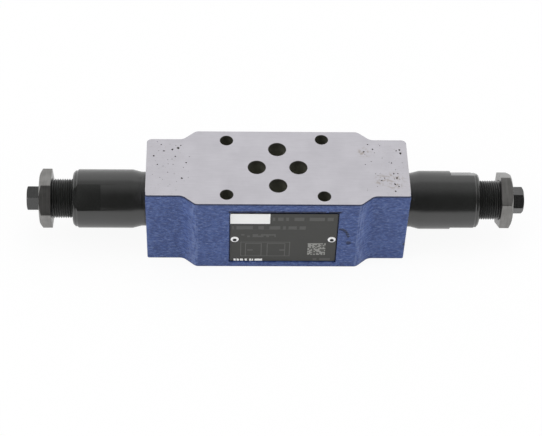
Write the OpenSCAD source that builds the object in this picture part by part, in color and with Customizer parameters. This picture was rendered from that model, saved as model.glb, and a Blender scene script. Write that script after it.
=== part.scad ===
// Twin pressure-relief sandwich valve of size 6 with two adjustable cartridges.
// Origin: below the middle of ports A and B, on the lower mounting face.
// X runs along the two cartridges, Z points from the lower to the upper mounting face.

/* [Body] */
// Length of the body between its machined ends
body_length = 110.4; // [106:0.2:130]
// Depth of the thick middle of the body
body_depth = 42; // [40:0.2:50]
// Depth of the slimmer ends of the body
end_depth = 32.6; // [31:0.2:38]
// Height between the two mounting faces
body_height = 40; // [36:0.5:50]
// Length of the flat stretch along the thick middle
middle_length = 66.6; // [60:0.2:74]
// Slope of the flanks between the middle and the ends
flank_angle = 41; // [30:1:55]
// Rounding where the middle turns into a flank
flank_outer_r = 3; // [1:0.1:5]
// Rounding where a flank runs out into an end
flank_inner_r = 4.2; // [1:0.1:6]
// Rounding of the rear upright edges
rear_corner_r = 2.2; // [0.5:0.1:4]
// Rounding of the front upright edges
front_corner_r = 0.8; // [0.3:0.1:3]

/* [Ports and fixing holes] */
// Diameter of the four oil ports
port_d = 7.5; // [5:0.1:8]
// Distance between ports A and B
ab_spacing = 17.5; // [16:0.1:20]
// Distance between ports P and T
pt_spacing = 20.8; // [19:0.1:24]
// Diameter of the fixing screw holes
screw_hole_d = 5.5; // [4.5:0.1:6]
// Distance from the left to the right fixing holes
screw_row_spacing = 40.5; // [38:0.1:46]
// Distance from the left fixing holes to the middle of the ports
left_row_offset = 21.45; // [19:0.05:24]
// Distance between the two left fixing holes
left_screw_spacing = 31; // [29:0.1:34]
// Distance between the two right fixing holes
right_screw_spacing = 32.5; // [29:0.1:34]
// Diameter of the seal recesses in the lower face
seal_recess_d = 12; // [11:0.1:13]
// Depth of the seal recesses
seal_recess_depth = 1.35; // [1:0.05:1.8]
// Diameter of the gallery that joins port T to both cartridges
gallery_d = 4.5; // [3:0.1:5]
// Distance of the gallery in front of the cartridge axis
gallery_offset = 9.5; // [8.5:0.1:10]

/* [Name plate] */
// Width of the name plate
plate_width = 45; // [36:0.5:56]
// Height of the name plate
plate_height = 30.5; // [24:0.5:34]
// Rounding of the name plate's corners
plate_corner_r = 0.8; // [0.3:0.1:3]
// Thickness of the name plate
plate_thickness = 0.5; // [0.3:0.1:0.8]
// Sideways place of the plate's middle
plate_x = 2.6; // [-4:0.1:4]
// Height of the plate's middle
plate_z = 18.6; // [18.5:0.1:20]
// Depth of the recess that holds the plate
plate_recess_depth = 0.9; // [0.8:0.1:1.5]
// Gap beside and below the plate in its recess
plate_margin = 0.4; // [0.1:0.1:1]
// Gap above the plate in its recess
plate_headroom = 1.2; // [0.1:0.1:1.5]
// Distance between the two rivets
rivet_spacing = 41; // [30:0.5:52]
// Height of the rivets below the plate's middle
rivet_drop = 1.1; // [0:0.1:3]
// Diameter of a rivet head
rivet_head_d = 3.4; // [2.6:0.1:4]
// Height of a rivet head
rivet_head_height = 0.8; // [0.5:0.1:1.2]
// Diameter of a rivet shank
rivet_shank_d = 2; // [1.5:0.1:2.2]
// Length of a rivet shank behind the plate
rivet_shank_length = 4.5; // [3:0.5:6]
// Diameter of the dimple in a rivet head
rivet_dimple_d = 1.4; // [0.8:0.1:1.6]

/* [Cartridge bores] */
// Diameter of the bore for the sleeve's nose
nose_bore_d = 12; // [11:0.1:13]
// Diameter of the bore for the sleeve
sleeve_bore_d = 18; // [17:0.1:19.5]
// Diameter of the bore for the barrel's spigot
spigot_bore_d = 22; // [21:0.1:22.8]

/* [Sleeve and main spool] */
// Length of the sleeve's nose
nose_length = 3.8; // [3.4:0.1:5]
// Length of the sleeve behind its nose
sleeve_length = 21; // [19:0.5:24]
// Diameter of the spool's bore in the sleeve
spool_bore_d = 10; // [9:0.1:10.6]
// Diameter of the opening that the spool closes
nose_opening_d = 7; // [5:0.1:7.4]
// Distance from the sleeve's shoulder to the spool's seat
spool_seat_depth = 2; // [1:0.1:2.5]
// Diameter of the radial outlet holes
outlet_hole_d = 2.4; // [1.6:0.1:2.8]
// Number of radial outlet holes
outlet_hole_count = 6; // [4:1:8]
// Width of the groove around the outlet holes
outlet_groove_width = 3.2; // [3:0.1:4]
// Depth of the groove around the outlet holes
outlet_groove_depth = 1.7; // [0.8:0.1:2]
// Width of the drain slot along the sleeve
drain_slot_width = 1.6; // [1:0.1:2]
// Depth of the drain slot along the sleeve
drain_slot_depth = 1; // [0.5:0.1:1.5]
// Length of the main spool
spool_length = 12; // [10:0.5:13]
// Thickness of the spool's nose
spool_nose_length = 3.5; // [2.5:0.1:4.5]
// Diameter of the spring pocket in the spool
spool_pocket_d = 7; // [6.8:0.1:7.6]
// Diameter of the spool's throttle hole
orifice_d = 1; // [0.6:0.1:1.5]

/* [Pilot stage] */
// Thickness of the pilot seat
seat_thickness = 4; // [3:0.1:5]
// Diameter of the hole in the pilot seat
seat_hole_d = 2.5; // [1.8:0.1:3]
// Depth of the recess that centres the main spring
seat_recess_depth = 0.6; // [0.3:0.1:1]
// Half angle of the poppet's cone
poppet_half_angle = 30; // [22:1:40]
// Diameter of the poppet's stem
poppet_stem_d = 6; // [5:0.1:7]
// Diameter of the poppet's spring collar
poppet_collar_d = 10; // [9.6:0.1:12]
// Thickness of the poppet's spring collar
poppet_collar_length = 1.2; // [0.8:0.1:2]
// Length of the pegs that centre the pilot spring
peg_length = 3; // [2:0.1:4]
// Diameter of the pegs that centre the pilot spring
peg_d = 5.4; // [4.5:0.1:5.6]

/* [Springs] */
// Outer diameter of the main spring
main_spring_d = 6.5; // [6:0.1:6.6]
// Wire diameter of the main spring
main_wire_d = 0.9; // [0.6:0.1:1.1]
// Number of turns of the main spring
main_turns = 7; // [5:1:8]
// Outer diameter of the pilot spring
pilot_spring_d = 9; // [8.8:0.1:9.4]
// Wire diameter of the pilot spring
pilot_wire_d = 1.5; // [1.2:0.1:1.6]
// Number of turns of the pilot spring
pilot_turns = 6; // [4:1:7]

/* [Barrel] */
// Diameter of the neck at the body
neck_d = 23.1; // [22.9:0.1:24.5]
// Length of the neck
neck_length = 2.3; // [1.5:0.1:4]
// Length of the taper behind the neck
taper_length = 3.9; // [2:0.1:6]
// Outer diameter of the barrel
barrel_d = 25; // [24.6:0.1:28]
// Length of the barrel outside the body
barrel_length = 31.2; // [28:0.1:38]
// Diameter of the stepped ring at the barrel's end
end_ring_d = 23.9; // [22.6:0.1:24.4]
// Length of the stepped ring
end_ring_length = 2.2; // [1.4:0.1:3]
// Slant at the barrel's outer end
end_chamfer = 0.9; // [0.3:0.1:1.2]
// Distance across the spanner flats
flat_across = 22.5; // [21.5:0.1:23.5]
// Length of the spanner flats
flat_length = 12; // [8:0.5:16]
// Turn of the spanner flats around the cartridge
flat_turn = 50; // [0:1:180]
// Diameter of the smooth chamber in the barrel
chamber_d = 15; // [14:0.1:15.4]
// Length of the threaded stretch at the barrel's end
thread_zone_length = 14.7; // [14.4:0.1:18]

/* [Spring plate] */
// Length of the spring plate's head
plate_head_length = 7; // [5.5:0.1:8]
// Diameter of the spring plate's stem
plate_stem_d = 9; // [6:0.1:11]

/* [Adjusting screw and lock nut] */
// Outer diameter of the adjusting thread
thread_d = 16.8; // [16:0.1:18]
// Length of thread that stands out of the barrel
thread_reach = 14.1; // [14:0.1:18]
// Length of thread inside the barrel
thread_engagement = 9.1; // [8:0.1:9.3]
// Slant at both ends of the thread
thread_chamfer = 0.7; // [0.3:0.1:1.2]
// Distance across the flats of the hexagon tip
tip_across = 10; // [8:0.1:12]
// Length of the hexagon tip
tip_length = 5.6; // [4:0.1:8]
// Turn of the hexagon tip around the cartridge
tip_turn = 49; // [0:1:60]
// Distance across the flats of the lock nut
nut_across = 22; // [20:0.1:24]
// Thickness of the lock nut
nut_thickness = 5; // [5:0.1:8]
// Turn of the left lock nut around its cartridge
left_nut_turn = 13; // [0:1:60]
// Turn of the right lock nut around its cartridge
right_nut_turn = 23; // [0:1:60]
// Slope of the nut's and the tip's chamfer
hex_chamfer_angle = 30; // [15:1:40]

/* [Seals] */
// Cord thickness of the barrel's and the spring plate's seal
seal_cord_d = 1.8; // [1.4:0.1:2]
// Distance of the barrel's seal from the body's end
barrel_seal_depth = 5; // [3:0.1:8]
// Cord thickness of the sleeve's seal
nose_seal_cord_d = 1.3; // [1:0.1:1.5]

/* [Fits] */
// Radial gap between pieces that stay put
static_gap = 0.05; // [0.02:0.01:0.1]
// Radial gap of the spring plate, the screw and the nut
running_gap = 0.05; // [0.02:0.01:0.1]
// Radial gap of the main spool in its sleeve
spool_gap = 0.025; // [0.01:0.005:0.05]
// Gap at a closed valve seat and at a spring's end
seat_gap = 0.1; // [0.05:0.01:0.2]

/* [Hidden] */
$fn = 96;

LEFT = -1;
RIGHT = 1;
through = 1;
hex_sides = 6;
// Pitch of a spring's end turns, in wire diameters
close_turn_pitch = 1.1;
// Slant at the ends of the spring pegs and of the spool
small_edge = 0.5;

// Places of the ports and fixing holes on the mounting faces
port_p = [0, pt_spacing / 2];
port_t = [0, -pt_spacing / 2];
port_a = [-ab_spacing / 2, 0];
port_b = [ab_spacing / 2, 0];
PORTS = [port_p, port_t, port_a, port_b];
left_row_x = -left_row_offset;
right_row_x = screw_row_spacing - left_row_offset;
FIXING_HOLES = [
    [left_row_x, left_screw_spacing / 2],
    [left_row_x, -left_screw_spacing / 2],
    [right_row_x, right_screw_spacing / 2],
    [right_row_x, -right_screw_spacing / 2]
];

// Outline of the body: each flank is a slope between two tangent arcs
half_length = body_length / 2;
half_depth = body_depth / 2;
half_end = end_depth / 2;
flank_step = half_depth - half_end;
flank_arcs = flank_outer_r + flank_inner_r;
flank_reserve = 0.99;
steepest_flank = acos(1 - flank_reserve * flank_step / max(flank_arcs, flank_step));
flank_slope = min(flank_angle, steepest_flank);
flank_straight = (flank_step - flank_arcs * (1 - cos(flank_slope))) / sin(flank_slope);
flank_start = middle_length / 2;
flank_end = flank_start + flank_arcs * sin(flank_slope) + flank_straight * cos(flank_slope);
front_face = -half_depth;

// Rivets: the shank runs through the plate and is rooted in the head
rivet_grip = plate_thickness + rivet_shank_length;
rivet_root = 0.2;
rivet_dimple_depth = 0.5;

// Stations along a cartridge, counted outwards from the middle of the valve
axis_height = body_height / 2;
nose_bore_overrun = 0.5;
nose_bore_start = ab_spacing / 2 - port_d / 2 - nose_bore_overrun;
nose_setback = 0.7;
nose_tip = ab_spacing / 2 + port_d / 2 + nose_setback;
shoulder = nose_tip + nose_length;
spool_seat = shoulder + spool_seat_depth;
sleeve_end = shoulder + sleeve_length;
barrel_start = sleeve_end + seat_thickness;
barrel_end = half_length + barrel_length;
thread_start = barrel_end - thread_zone_length;
screw_start = barrel_end - thread_engagement;
screw_end = barrel_end + thread_reach;
outlet_place = spool_seat + seat_gap + outlet_hole_d;

// Radii that follow from the fits
spigot_r = spigot_bore_d / 2 - static_gap;
sleeve_r = sleeve_bore_d / 2 - static_gap;
nose_r = nose_bore_d / 2 - static_gap;
thread_r = thread_d / 2;
thread_bore_r = thread_r + running_gap;

// The drain hole of the pilot seat opens into the barrel's chamber and the sleeve's slot
drain_hole_r = chamber_d / 2 - drain_slot_width / 2;

// Pilot poppet: its cone closes the edge of the seat's hole
poppet_slope = tan(poppet_half_angle);
poppet_edge_r = seat_hole_d / 2 - seat_gap / cos(poppet_half_angle);
poppet_tip_r = 0.4;
poppet_stem_length = 0.8;
poppet_tip = barrel_start - (poppet_edge_r - poppet_tip_r) / poppet_slope;
poppet_stem = barrel_start + (poppet_stem_d / 2 - poppet_edge_r) / poppet_slope;
poppet_collar = poppet_stem + poppet_stem_length;
pilot_spring_start = poppet_collar + poppet_collar_length;

// Spring plate: its head carries the pilot spring, its stem meets the screw
touch_gap = 0.05;
plate_stem_end = screw_start - touch_gap;
head_setback = 1.9;
plate_stem_start = thread_start - head_setback;
plate_head_start = plate_stem_start - plate_head_length;
plate_r = chamber_d / 2 - running_gap;

// Seals: the port rings stand back from the ports, the grooves are a little wider than the cord
seal_setback = 0.2;
groove_side = 0.2;
barrel_seal_middle = half_length - barrel_seal_depth;
plate_groove_middle = plate_head_start + plate_head_length / 2;
sleeve_groove_middle = nose_tip + nose_length / 2;

module port_holes() {
    for (place = PORTS)
        translate([place.x, place.y, -through])
            cylinder(d = port_d, h = body_height + 2 * through);
}

module fixing_holes() {
    for (place = FIXING_HOLES)
        translate([place.x, place.y, -through])
            cylinder(d = screw_hole_d, h = body_height + 2 * through);
}

module seal_recesses() {
    for (place = PORTS)
        translate([place.x, place.y, -through])
            cylinder(d = seal_recess_d, h = seal_recess_depth + through);
}

// Turns a piece that is drawn along Z into the left or the right cartridge axis
module along_cartridge(side) {
    translate([0, 0, axis_height])
        rotate([0, 0, side == RIGHT ? 0 : 180])
            rotate([0, 90, 0])
                children();
}

// Turns a piece around the cartridge, counted from the rear towards the top
module turned(angle) {
    rotate([0, 0, angle + 90])
        children();
}

// Outline points of one quarter of the body, from its middle to its end
function quarter(sx, sy, corner_r) = [
    for (p = [
        [flank_start, half_depth],
        [flank_start + flank_outer_r * sin(flank_slope),
         half_depth - flank_outer_r * (1 - cos(flank_slope))],
        [flank_end - flank_inner_r * sin(flank_slope),
         half_end + flank_inner_r * (1 - cos(flank_slope))],
        [flank_end, half_end],
        [half_length - corner_r, half_end],
        [half_length, half_end - corner_r]
    ]) [sx * p.x, sy * p.y]
];

function reversed(points) = [for (i = [len(points) - 1:-1:0]) points[i]];

// An upright round of the full body height
module upright(x, y, r) {
    translate([x, y, 0])
        cylinder(r = r, h = body_height);
}

module body_block() {
    difference() {
        union() {
            linear_extrude(body_height)
                polygon(concat(
                    quarter(1, 1, rear_corner_r),
                    reversed(quarter(1, -1, front_corner_r)),
                    quarter(-1, -1, front_corner_r),
                    reversed(quarter(-1, 1, rear_corner_r))
                ));
            for (sx = [-1, 1], sy = [-1, 1]) {
                corner_r = sy > 0 ? rear_corner_r : front_corner_r;
                upright(sx * flank_start, sy * (half_depth - flank_outer_r), flank_outer_r);
                upright(sx * (half_length - corner_r), sy * (half_end - corner_r), corner_r);
            }
        }
        for (sx = [-1, 1], sy = [-1, 1])
            upright(sx * flank_end, sy * (half_end + flank_inner_r), flank_inner_r);
    }
}

module cartridge_bore(side) {
    along_cartridge(side) {
        translate([0, 0, nose_bore_start])
            cylinder(d = nose_bore_d, h = shoulder - nose_bore_start + through);
        translate([0, 0, shoulder])
            cylinder(d = sleeve_bore_d, h = barrel_start - shoulder + through);
        translate([0, 0, barrel_start])
            cylinder(d = spigot_bore_d, h = half_length - barrel_start + through);
    }
}

module tank_gallery() {
    reach = outlet_place + outlet_groove_width;
    translate([-reach, -gallery_offset, axis_height])
        rotate([0, 90, 0])
            cylinder(d = gallery_d, h = 2 * reach);
}

module plate_recess() {
    width = plate_width + 2 * plate_margin;
    height = plate_height + plate_margin + plate_headroom;
    bottom = plate_z - plate_height / 2 - plate_margin;
    translate([plate_x - width / 2, front_face - through, bottom])
        cube([width, plate_recess_depth + through, height]);
}

// Places a rivet, drawn along Z from the plate's face, in both rivet holes
module at_rivets() {
    for (side = [LEFT, RIGHT])
        translate([
            plate_x + side * rivet_spacing / 2,
            front_face + plate_recess_depth - plate_thickness,
            plate_z - rivet_drop
        ])
            rotate([90, 0, 0])
                children();
}

module rivet_holes() {
    at_rivets()
        translate([0, 0, -rivet_grip - through])
            cylinder(r = rivet_shank_d / 2 + static_gap, h = rivet_grip + 2 * through);
}

module valve_body() {
    color([0.27, 0.34, 0.54])
        difference() {
            body_block();
            port_holes();
            fixing_holes();
            seal_recesses();
            cartridge_bore(LEFT);
            cartridge_bore(RIGHT);
            tank_gallery();
            plate_recess();
            rivet_holes();
        }
}

// The plate's blank: two crossed bars with a round in each corner
module plate_blank() {
    inner_width = plate_width - 2 * plate_corner_r;
    inner_height = plate_height - 2 * plate_corner_r;
    translate([-plate_width / 2, -inner_height / 2, 0])
        cube([plate_width, inner_height, plate_thickness]);
    translate([-inner_width / 2, -plate_height / 2, 0])
        cube([inner_width, plate_height, plate_thickness]);
    for (sx = [-1, 1], sy = [-1, 1])
        translate([sx * inner_width / 2, sy * inner_height / 2, 0])
            cylinder(r = plate_corner_r, h = plate_thickness);
}

module nameplate() {
    color([0.24, 0.24, 0.24])
        difference() {
            translate([plate_x, front_face + plate_recess_depth, plate_z])
                rotate([90, 0, 0])
                    plate_blank();
            rivet_holes();
        }
}

module rivet() {
    head_r = rivet_head_d / 2;
    dome_r = (head_r * head_r + rivet_head_height * rivet_head_height) / (2 * rivet_head_height);
    difference() {
        union() {
            intersection() {
                translate([0, 0, rivet_head_height - dome_r])
                    sphere(r = dome_r);
                cylinder(r = head_r, h = rivet_head_height);
            }
            translate([0, 0, -rivet_grip])
                cylinder(d = rivet_shank_d, h = rivet_grip + rivet_root);
        }
        translate([0, 0, rivet_head_height - rivet_dimple_depth])
            cylinder(d = rivet_dimple_d, h = rivet_dimple_depth + through);
    }
}

module nameplate_rivets() {
    color([0.8, 0.8, 0.8])
        at_rivets()
            rivet();
}

// A clamped seal ring, flush with the lower face
module port_seal(place) {
    outer_r = seal_recess_d / 2 - static_gap;
    inner_r = port_d / 2 + seal_setback;
    height = seal_recess_depth - static_gap;
    bulge_r = height / 2;
    color([0.1, 0.1, 0.1])
        translate([place.x, place.y, static_gap])
            rotate_extrude() {
                translate([inner_r + bulge_r, 0])
                    square([outer_r - inner_r - height, height]);
                for (r = [inner_r + bulge_r, outer_r - bulge_r])
                    translate([r, bulge_r])
                        circle(r = bulge_r);
            }
}

// A seal ring around the cartridge axis, held to its outer radius
module ring_seal(side, middle, outer_r, cord_d) {
    color([0.1, 0.1, 0.1])
        along_cartridge(side)
            translate([0, 0, middle])
                rotate_extrude()
                    translate([outer_r - cord_d / 2, 0])
                        circle(d = cord_d);
}

// Profile points of a groove for a seal ring, from the inner to the outer end
function groove(outer_r, middle, cord_d) = [
    [outer_r, middle - cord_d / 2 - groove_side],
    [outer_r - cord_d + static_gap, middle - cord_d / 2 - groove_side],
    [outer_r - cord_d + static_gap, middle + cord_d / 2 + groove_side],
    [outer_r, middle + cord_d / 2 + groove_side]
];

module barrel(side) {
    ring_start = barrel_end - end_ring_length;
    ring_r = end_ring_d / 2;
    color([0.12, 0.12, 0.13])
        along_cartridge(side)
            difference() {
                rotate_extrude()
                    polygon(concat(
                        [[chamber_d / 2, barrel_start], [spigot_r, barrel_start]],
                        groove(spigot_r, barrel_seal_middle, seal_cord_d),
                        [
                            [spigot_r, half_length],
                            [neck_d / 2, half_length],
                            [neck_d / 2, half_length + neck_length],
                            [barrel_d / 2, half_length + neck_length + taper_length],
                            [barrel_d / 2, ring_start],
                            [ring_r, ring_start + barrel_d / 2 - ring_r],
                            [ring_r, barrel_end - end_chamfer],
                            [ring_r - end_chamfer, barrel_end],
                            [thread_bore_r, barrel_end],
                            [thread_bore_r, thread_start],
                            [chamber_d / 2, thread_start]
                        ]
                    ));
                for (half = [0, 180])
                    turned(flat_turn + half)
                        translate([flat_across / 2, -barrel_d, barrel_end - flat_length])
                            cube([barrel_d, 2 * barrel_d, flat_length + through]);
            }
}

module barrel_seal(side) {
    ring_seal(side, barrel_seal_middle, spigot_r, seal_cord_d - 2 * static_gap);
}

module spool_sleeve(side) {
    groove_start = outlet_place - outlet_groove_width / 2;
    color([0.62, 0.62, 0.64])
        along_cartridge(side)
            difference() {
                rotate_extrude()
                    polygon(concat(
                        [[nose_opening_d / 2, nose_tip], [nose_r, nose_tip]],
                        groove(nose_r, sleeve_groove_middle, nose_seal_cord_d),
                        [
                            [nose_r, shoulder],
                            [sleeve_r, shoulder],
                            [sleeve_r, groove_start],
                            [sleeve_r - outlet_groove_depth, groove_start],
                            [sleeve_r - outlet_groove_depth, groove_start + outlet_groove_width],
                            [sleeve_r, groove_start + outlet_groove_width],
                            [sleeve_r, sleeve_end],
                            [spool_bore_d / 2, sleeve_end],
                            [spool_bore_d / 2, spool_seat],
                            [nose_opening_d / 2, spool_seat]
                        ]
                    ));
                for (i = [0:outlet_hole_count - 1])
                    rotate([0, 0, i * 360 / outlet_hole_count])
                        translate([0, 0, outlet_place])
                            rotate([0, 90, 0])
                                cylinder(d = outlet_hole_d, h = sleeve_r);
                translate([sleeve_r - drain_slot_depth, -drain_slot_width / 2, outlet_place])
                    cube([sleeve_r, drain_slot_width, sleeve_end - outlet_place + through]);
                translate([
                    drain_hole_r - drain_slot_width / 2,
                    -drain_slot_width / 2,
                    sleeve_end - drain_slot_depth
                ])
                    cube([sleeve_r, drain_slot_width, drain_slot_depth + through]);
            }
}

module sleeve_seal(side) {
    ring_seal(side, sleeve_groove_middle, nose_r, nose_seal_cord_d - 2 * static_gap);
}

module main_spool(side) {
    start = spool_seat + seat_gap;
    outer_r = spool_bore_d / 2 - spool_gap;
    color([0.72, 0.72, 0.74])
        along_cartridge(side)
            rotate_extrude()
                polygon([
                    [orifice_d / 2, start],
                    [outer_r - small_edge, start],
                    [outer_r, start + small_edge],
                    [outer_r, start + spool_length],
                    [spool_pocket_d / 2, start + spool_length],
                    [spool_pocket_d / 2, start + spool_nose_length],
                    [orifice_d / 2, start + spool_nose_length]
                ]);
}

// Coil spring along Z: its end turns lie close, the turns between share the rest
module coil_spring(outer_d, wire_d, turns, length) {
    rings_per_turn = 14;
    sides = 6;
    close_pitch = close_turn_pitch * wire_d;
    middle_r = (outer_d - wire_d) / 2;
    rise = length - wire_d;
    open_pitch = (rise - 2 * close_pitch) / (turns - 2);
    rings = turns * rings_per_turn;
    function height(t) =
        t < 1 ? t * close_pitch
        : t > turns - 1 ? rise - (turns - t) * close_pitch
        : close_pitch + (t - 1) * open_pitch;
    points = [
        for (i = [0:rings], j = [0:sides - 1])
            let (
                turn = i / rings_per_turn,
                around = 360 * j / sides,
                r = middle_r + wire_d / 2 * cos(around)
            )
            [
                r * cos(360 * turn),
                r * sin(360 * turn),
                wire_d / 2 + height(turn) + wire_d / 2 * sin(around)
            ]
    ];
    skin = [
        for (i = [0:rings - 1], j = [0:sides - 1], half = [0, 1])
            let (
                a = i * sides + j,
                b = i * sides + (j + 1) % sides
            )
            half == 0 ? [a, a + sides, b] : [b, a + sides, b + sides]
    ];
    ends = [
        [for (j = [0:sides - 1]) j],
        [for (j = [sides - 1:-1:0]) rings * sides + j]
    ];
    polyhedron(points, concat(skin, ends));
}

module main_spring(side) {
    start = spool_seat + seat_gap + spool_nose_length + seat_gap;
    finish = sleeve_end + seat_recess_depth - seat_gap;
    color([0.55, 0.55, 0.57])
        along_cartridge(side)
            translate([0, 0, start])
                coil_spring(main_spring_d, main_wire_d, main_turns, finish - start);
}

module pilot_seat(side) {
    drain_hole_d = drain_slot_width - 2 * static_gap;
    color([0.6, 0.6, 0.62])
        along_cartridge(side)
            difference() {
                translate([0, 0, sleeve_end])
                    cylinder(r = sleeve_r, h = seat_thickness);
                translate([0, 0, sleeve_end - through])
                    cylinder(d = seat_hole_d, h = seat_thickness + 2 * through);
                translate([0, 0, sleeve_end - through])
                    cylinder(d = spool_pocket_d, h = seat_recess_depth + through);
                translate([drain_hole_r, 0, sleeve_end - through])
                    cylinder(d = drain_hole_d, h = seat_thickness + 2 * through);
            }
}

module pilot_poppet(side) {
    peg_end = pilot_spring_start + peg_length;
    color([0.75, 0.75, 0.77])
        along_cartridge(side)
            rotate_extrude()
                polygon([
                    [0, poppet_tip],
                    [poppet_tip_r, poppet_tip],
                    [poppet_stem_d / 2, poppet_stem],
                    [poppet_stem_d / 2, poppet_collar],
                    [poppet_collar_d / 2, poppet_collar],
                    [poppet_collar_d / 2, pilot_spring_start],
                    [peg_d / 2, pilot_spring_start],
                    [peg_d / 2, peg_end - small_edge],
                    [peg_d / 2 - small_edge, peg_end],
                    [0, peg_end]
                ]);
}

module pilot_spring(side) {
    start = pilot_spring_start + seat_gap;
    color([0.55, 0.55, 0.57])
        along_cartridge(side)
            translate([0, 0, start])
                coil_spring(pilot_spring_d, pilot_wire_d, pilot_turns, plate_head_start - seat_gap - start);
}

module spring_plate(side) {
    peg_start = plate_head_start - peg_length;
    color([0.66, 0.66, 0.68])
        along_cartridge(side)
            rotate_extrude()
                polygon(concat(
                    [
                        [0, peg_start],
                        [peg_d / 2 - small_edge, peg_start],
                        [peg_d / 2, peg_start + small_edge],
                        [peg_d / 2, plate_head_start],
                        [plate_r, plate_head_start]
                    ],
                    groove(plate_r, plate_groove_middle, seal_cord_d),
                    [
                        [plate_r, plate_stem_start],
                        [plate_stem_d / 2, plate_stem_start],
                        [plate_stem_d / 2, plate_stem_end],
                        [0, plate_stem_end]
                    ]
                ));
}

module spring_plate_seal(side) {
    ring_seal(side, plate_groove_middle, plate_r, seal_cord_d - 2 * static_gap);
}

// Hexagon along Z whose outer corners are turned off at a slant
module slanted_hexagon(across, length) {
    corner_r = across / 2 / cos(180 / hex_sides);
    drop = (corner_r - across / 2) * tan(hex_chamfer_angle);
    intersection() {
        cylinder(r = corner_r, h = length, $fn = hex_sides);
        rotate_extrude()
            polygon([
                [0, 0],
                [corner_r, 0],
                [corner_r, length - drop],
                [across / 2, length],
                [0, length]
            ]);
    }
}

module adjusting_screw(side) {
    color([0.13, 0.13, 0.13])
        along_cartridge(side)
            union() {
                rotate_extrude()
                    polygon([
                        [0, screw_start],
                        [thread_r - thread_chamfer, screw_start],
                        [thread_r, screw_start + thread_chamfer],
                        [thread_r, screw_end - thread_chamfer],
                        [thread_r - thread_chamfer, screw_end],
                        [0, screw_end]
                    ]);
                turned(tip_turn)
                    translate([0, 0, screw_end - through])
                        slanted_hexagon(tip_across, tip_length + through);
            }
}

module lock_nut(side) {
    turn = side == LEFT ? left_nut_turn : right_nut_turn;
    color([0.3, 0.3, 0.3])
        along_cartridge(side)
            difference() {
                turned(turn)
                    translate([0, 0, screw_end - nut_thickness])
                        slanted_hexagon(nut_across, nut_thickness);
                translate([0, 0, screw_end - nut_thickness - through])
                    cylinder(r = thread_bore_r, h = nut_thickness + 2 * through);
            }
}

valve_body();
nameplate();
nameplate_rivets();
port_seal(port_p);  // port_seal_p
port_seal(port_t);  // port_seal_t
port_seal(port_a);  // port_seal_a
port_seal(port_b);  // port_seal_b
barrel(LEFT);  // left_barrel
barrel_seal(LEFT);  // left_barrel_seal
spool_sleeve(LEFT);  // left_spool_sleeve
sleeve_seal(LEFT);  // left_sleeve_seal
main_spool(LEFT);  // left_main_spool
main_spring(LEFT);  // left_main_spring
pilot_seat(LEFT);  // left_pilot_seat
pilot_poppet(LEFT);  // left_pilot_poppet
pilot_spring(LEFT);  // left_pilot_spring
spring_plate(LEFT);  // left_spring_plate
spring_plate_seal(LEFT);  // left_spring_plate_seal
adjusting_screw(LEFT);  // left_adjusting_screw
lock_nut(LEFT);  // left_lock_nut
barrel(RIGHT);  // right_barrel
barrel_seal(RIGHT);  // right_barrel_seal
spool_sleeve(RIGHT);  // right_spool_sleeve
sleeve_seal(RIGHT);  // right_sleeve_seal
main_spool(RIGHT);  // right_main_spool
main_spring(RIGHT);  // right_main_spring
pilot_seat(RIGHT);  // right_pilot_seat
pilot_poppet(RIGHT);  // right_pilot_poppet
pilot_spring(RIGHT);  // right_pilot_spring
spring_plate(RIGHT);  // right_spring_plate
spring_plate_seal(RIGHT);  // right_spring_plate_seal
adjusting_screw(RIGHT);  // right_adjusting_screw
lock_nut(RIGHT);  // right_lock_nut
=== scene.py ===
"""Dress of a size 6 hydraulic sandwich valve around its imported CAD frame.

Sizes are in millimetres and become metres where a mesh is made. X runs along the two
cartridges, Z points from the lower to the upper mounting face.
"""

import logging
import math
import operator
import random
from dataclasses import dataclass, field
from enum import Enum
from functools import reduce
from typing import Callable, Iterable, Sequence

import bmesh
import bpy
from mathutils import Matrix, Vector


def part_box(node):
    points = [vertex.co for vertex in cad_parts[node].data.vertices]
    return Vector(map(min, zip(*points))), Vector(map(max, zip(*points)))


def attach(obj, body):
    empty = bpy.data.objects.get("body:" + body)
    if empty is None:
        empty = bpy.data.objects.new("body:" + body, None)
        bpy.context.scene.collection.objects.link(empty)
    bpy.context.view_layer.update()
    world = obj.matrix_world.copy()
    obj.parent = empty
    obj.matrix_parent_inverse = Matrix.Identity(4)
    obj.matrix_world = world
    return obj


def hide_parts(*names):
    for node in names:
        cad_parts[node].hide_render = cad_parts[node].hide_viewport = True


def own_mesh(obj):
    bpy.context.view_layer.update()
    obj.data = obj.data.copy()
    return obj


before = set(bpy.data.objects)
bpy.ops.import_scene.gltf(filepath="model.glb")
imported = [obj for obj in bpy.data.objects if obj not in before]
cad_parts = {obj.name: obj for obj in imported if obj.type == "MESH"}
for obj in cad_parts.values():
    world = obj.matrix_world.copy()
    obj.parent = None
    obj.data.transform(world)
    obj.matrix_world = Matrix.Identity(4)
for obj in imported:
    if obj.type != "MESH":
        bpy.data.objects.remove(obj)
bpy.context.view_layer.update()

Point = tuple[float, float, float]
Pair = tuple[float, float]
Area = tuple[float, float, float, float]
Spot = tuple[Point, float]
Colour = tuple[float, float, float, float]
Corner = Callable[[float, float, float], Point]

LOG = logging.getLogger("valve")
MM = 0.001
FULL_TURN = 2 * math.pi
QUARTER_TURN = math.pi / 2
SHARP_ANGLE = math.radians(28)
MERGE_REACH = 1e-6
SLIVER_REACH = 1e-7
NOISE_ROUGHNESS = 0.55
SPOT_CORE = 0.4
TUBE_FACES = 32
EDGE_SEGMENTS = 2
OVERRUN = 1.0
WHITE: Colour = (1.0, 1.0, 1.0, 1.0)


def node_box(node: str) -> list[Point]:
    """A CAD node's lowest and highest corner, in millimetres to the micrometre."""
    return [tuple(round(value / MM, 3) for value in corner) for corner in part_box(node)]


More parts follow.
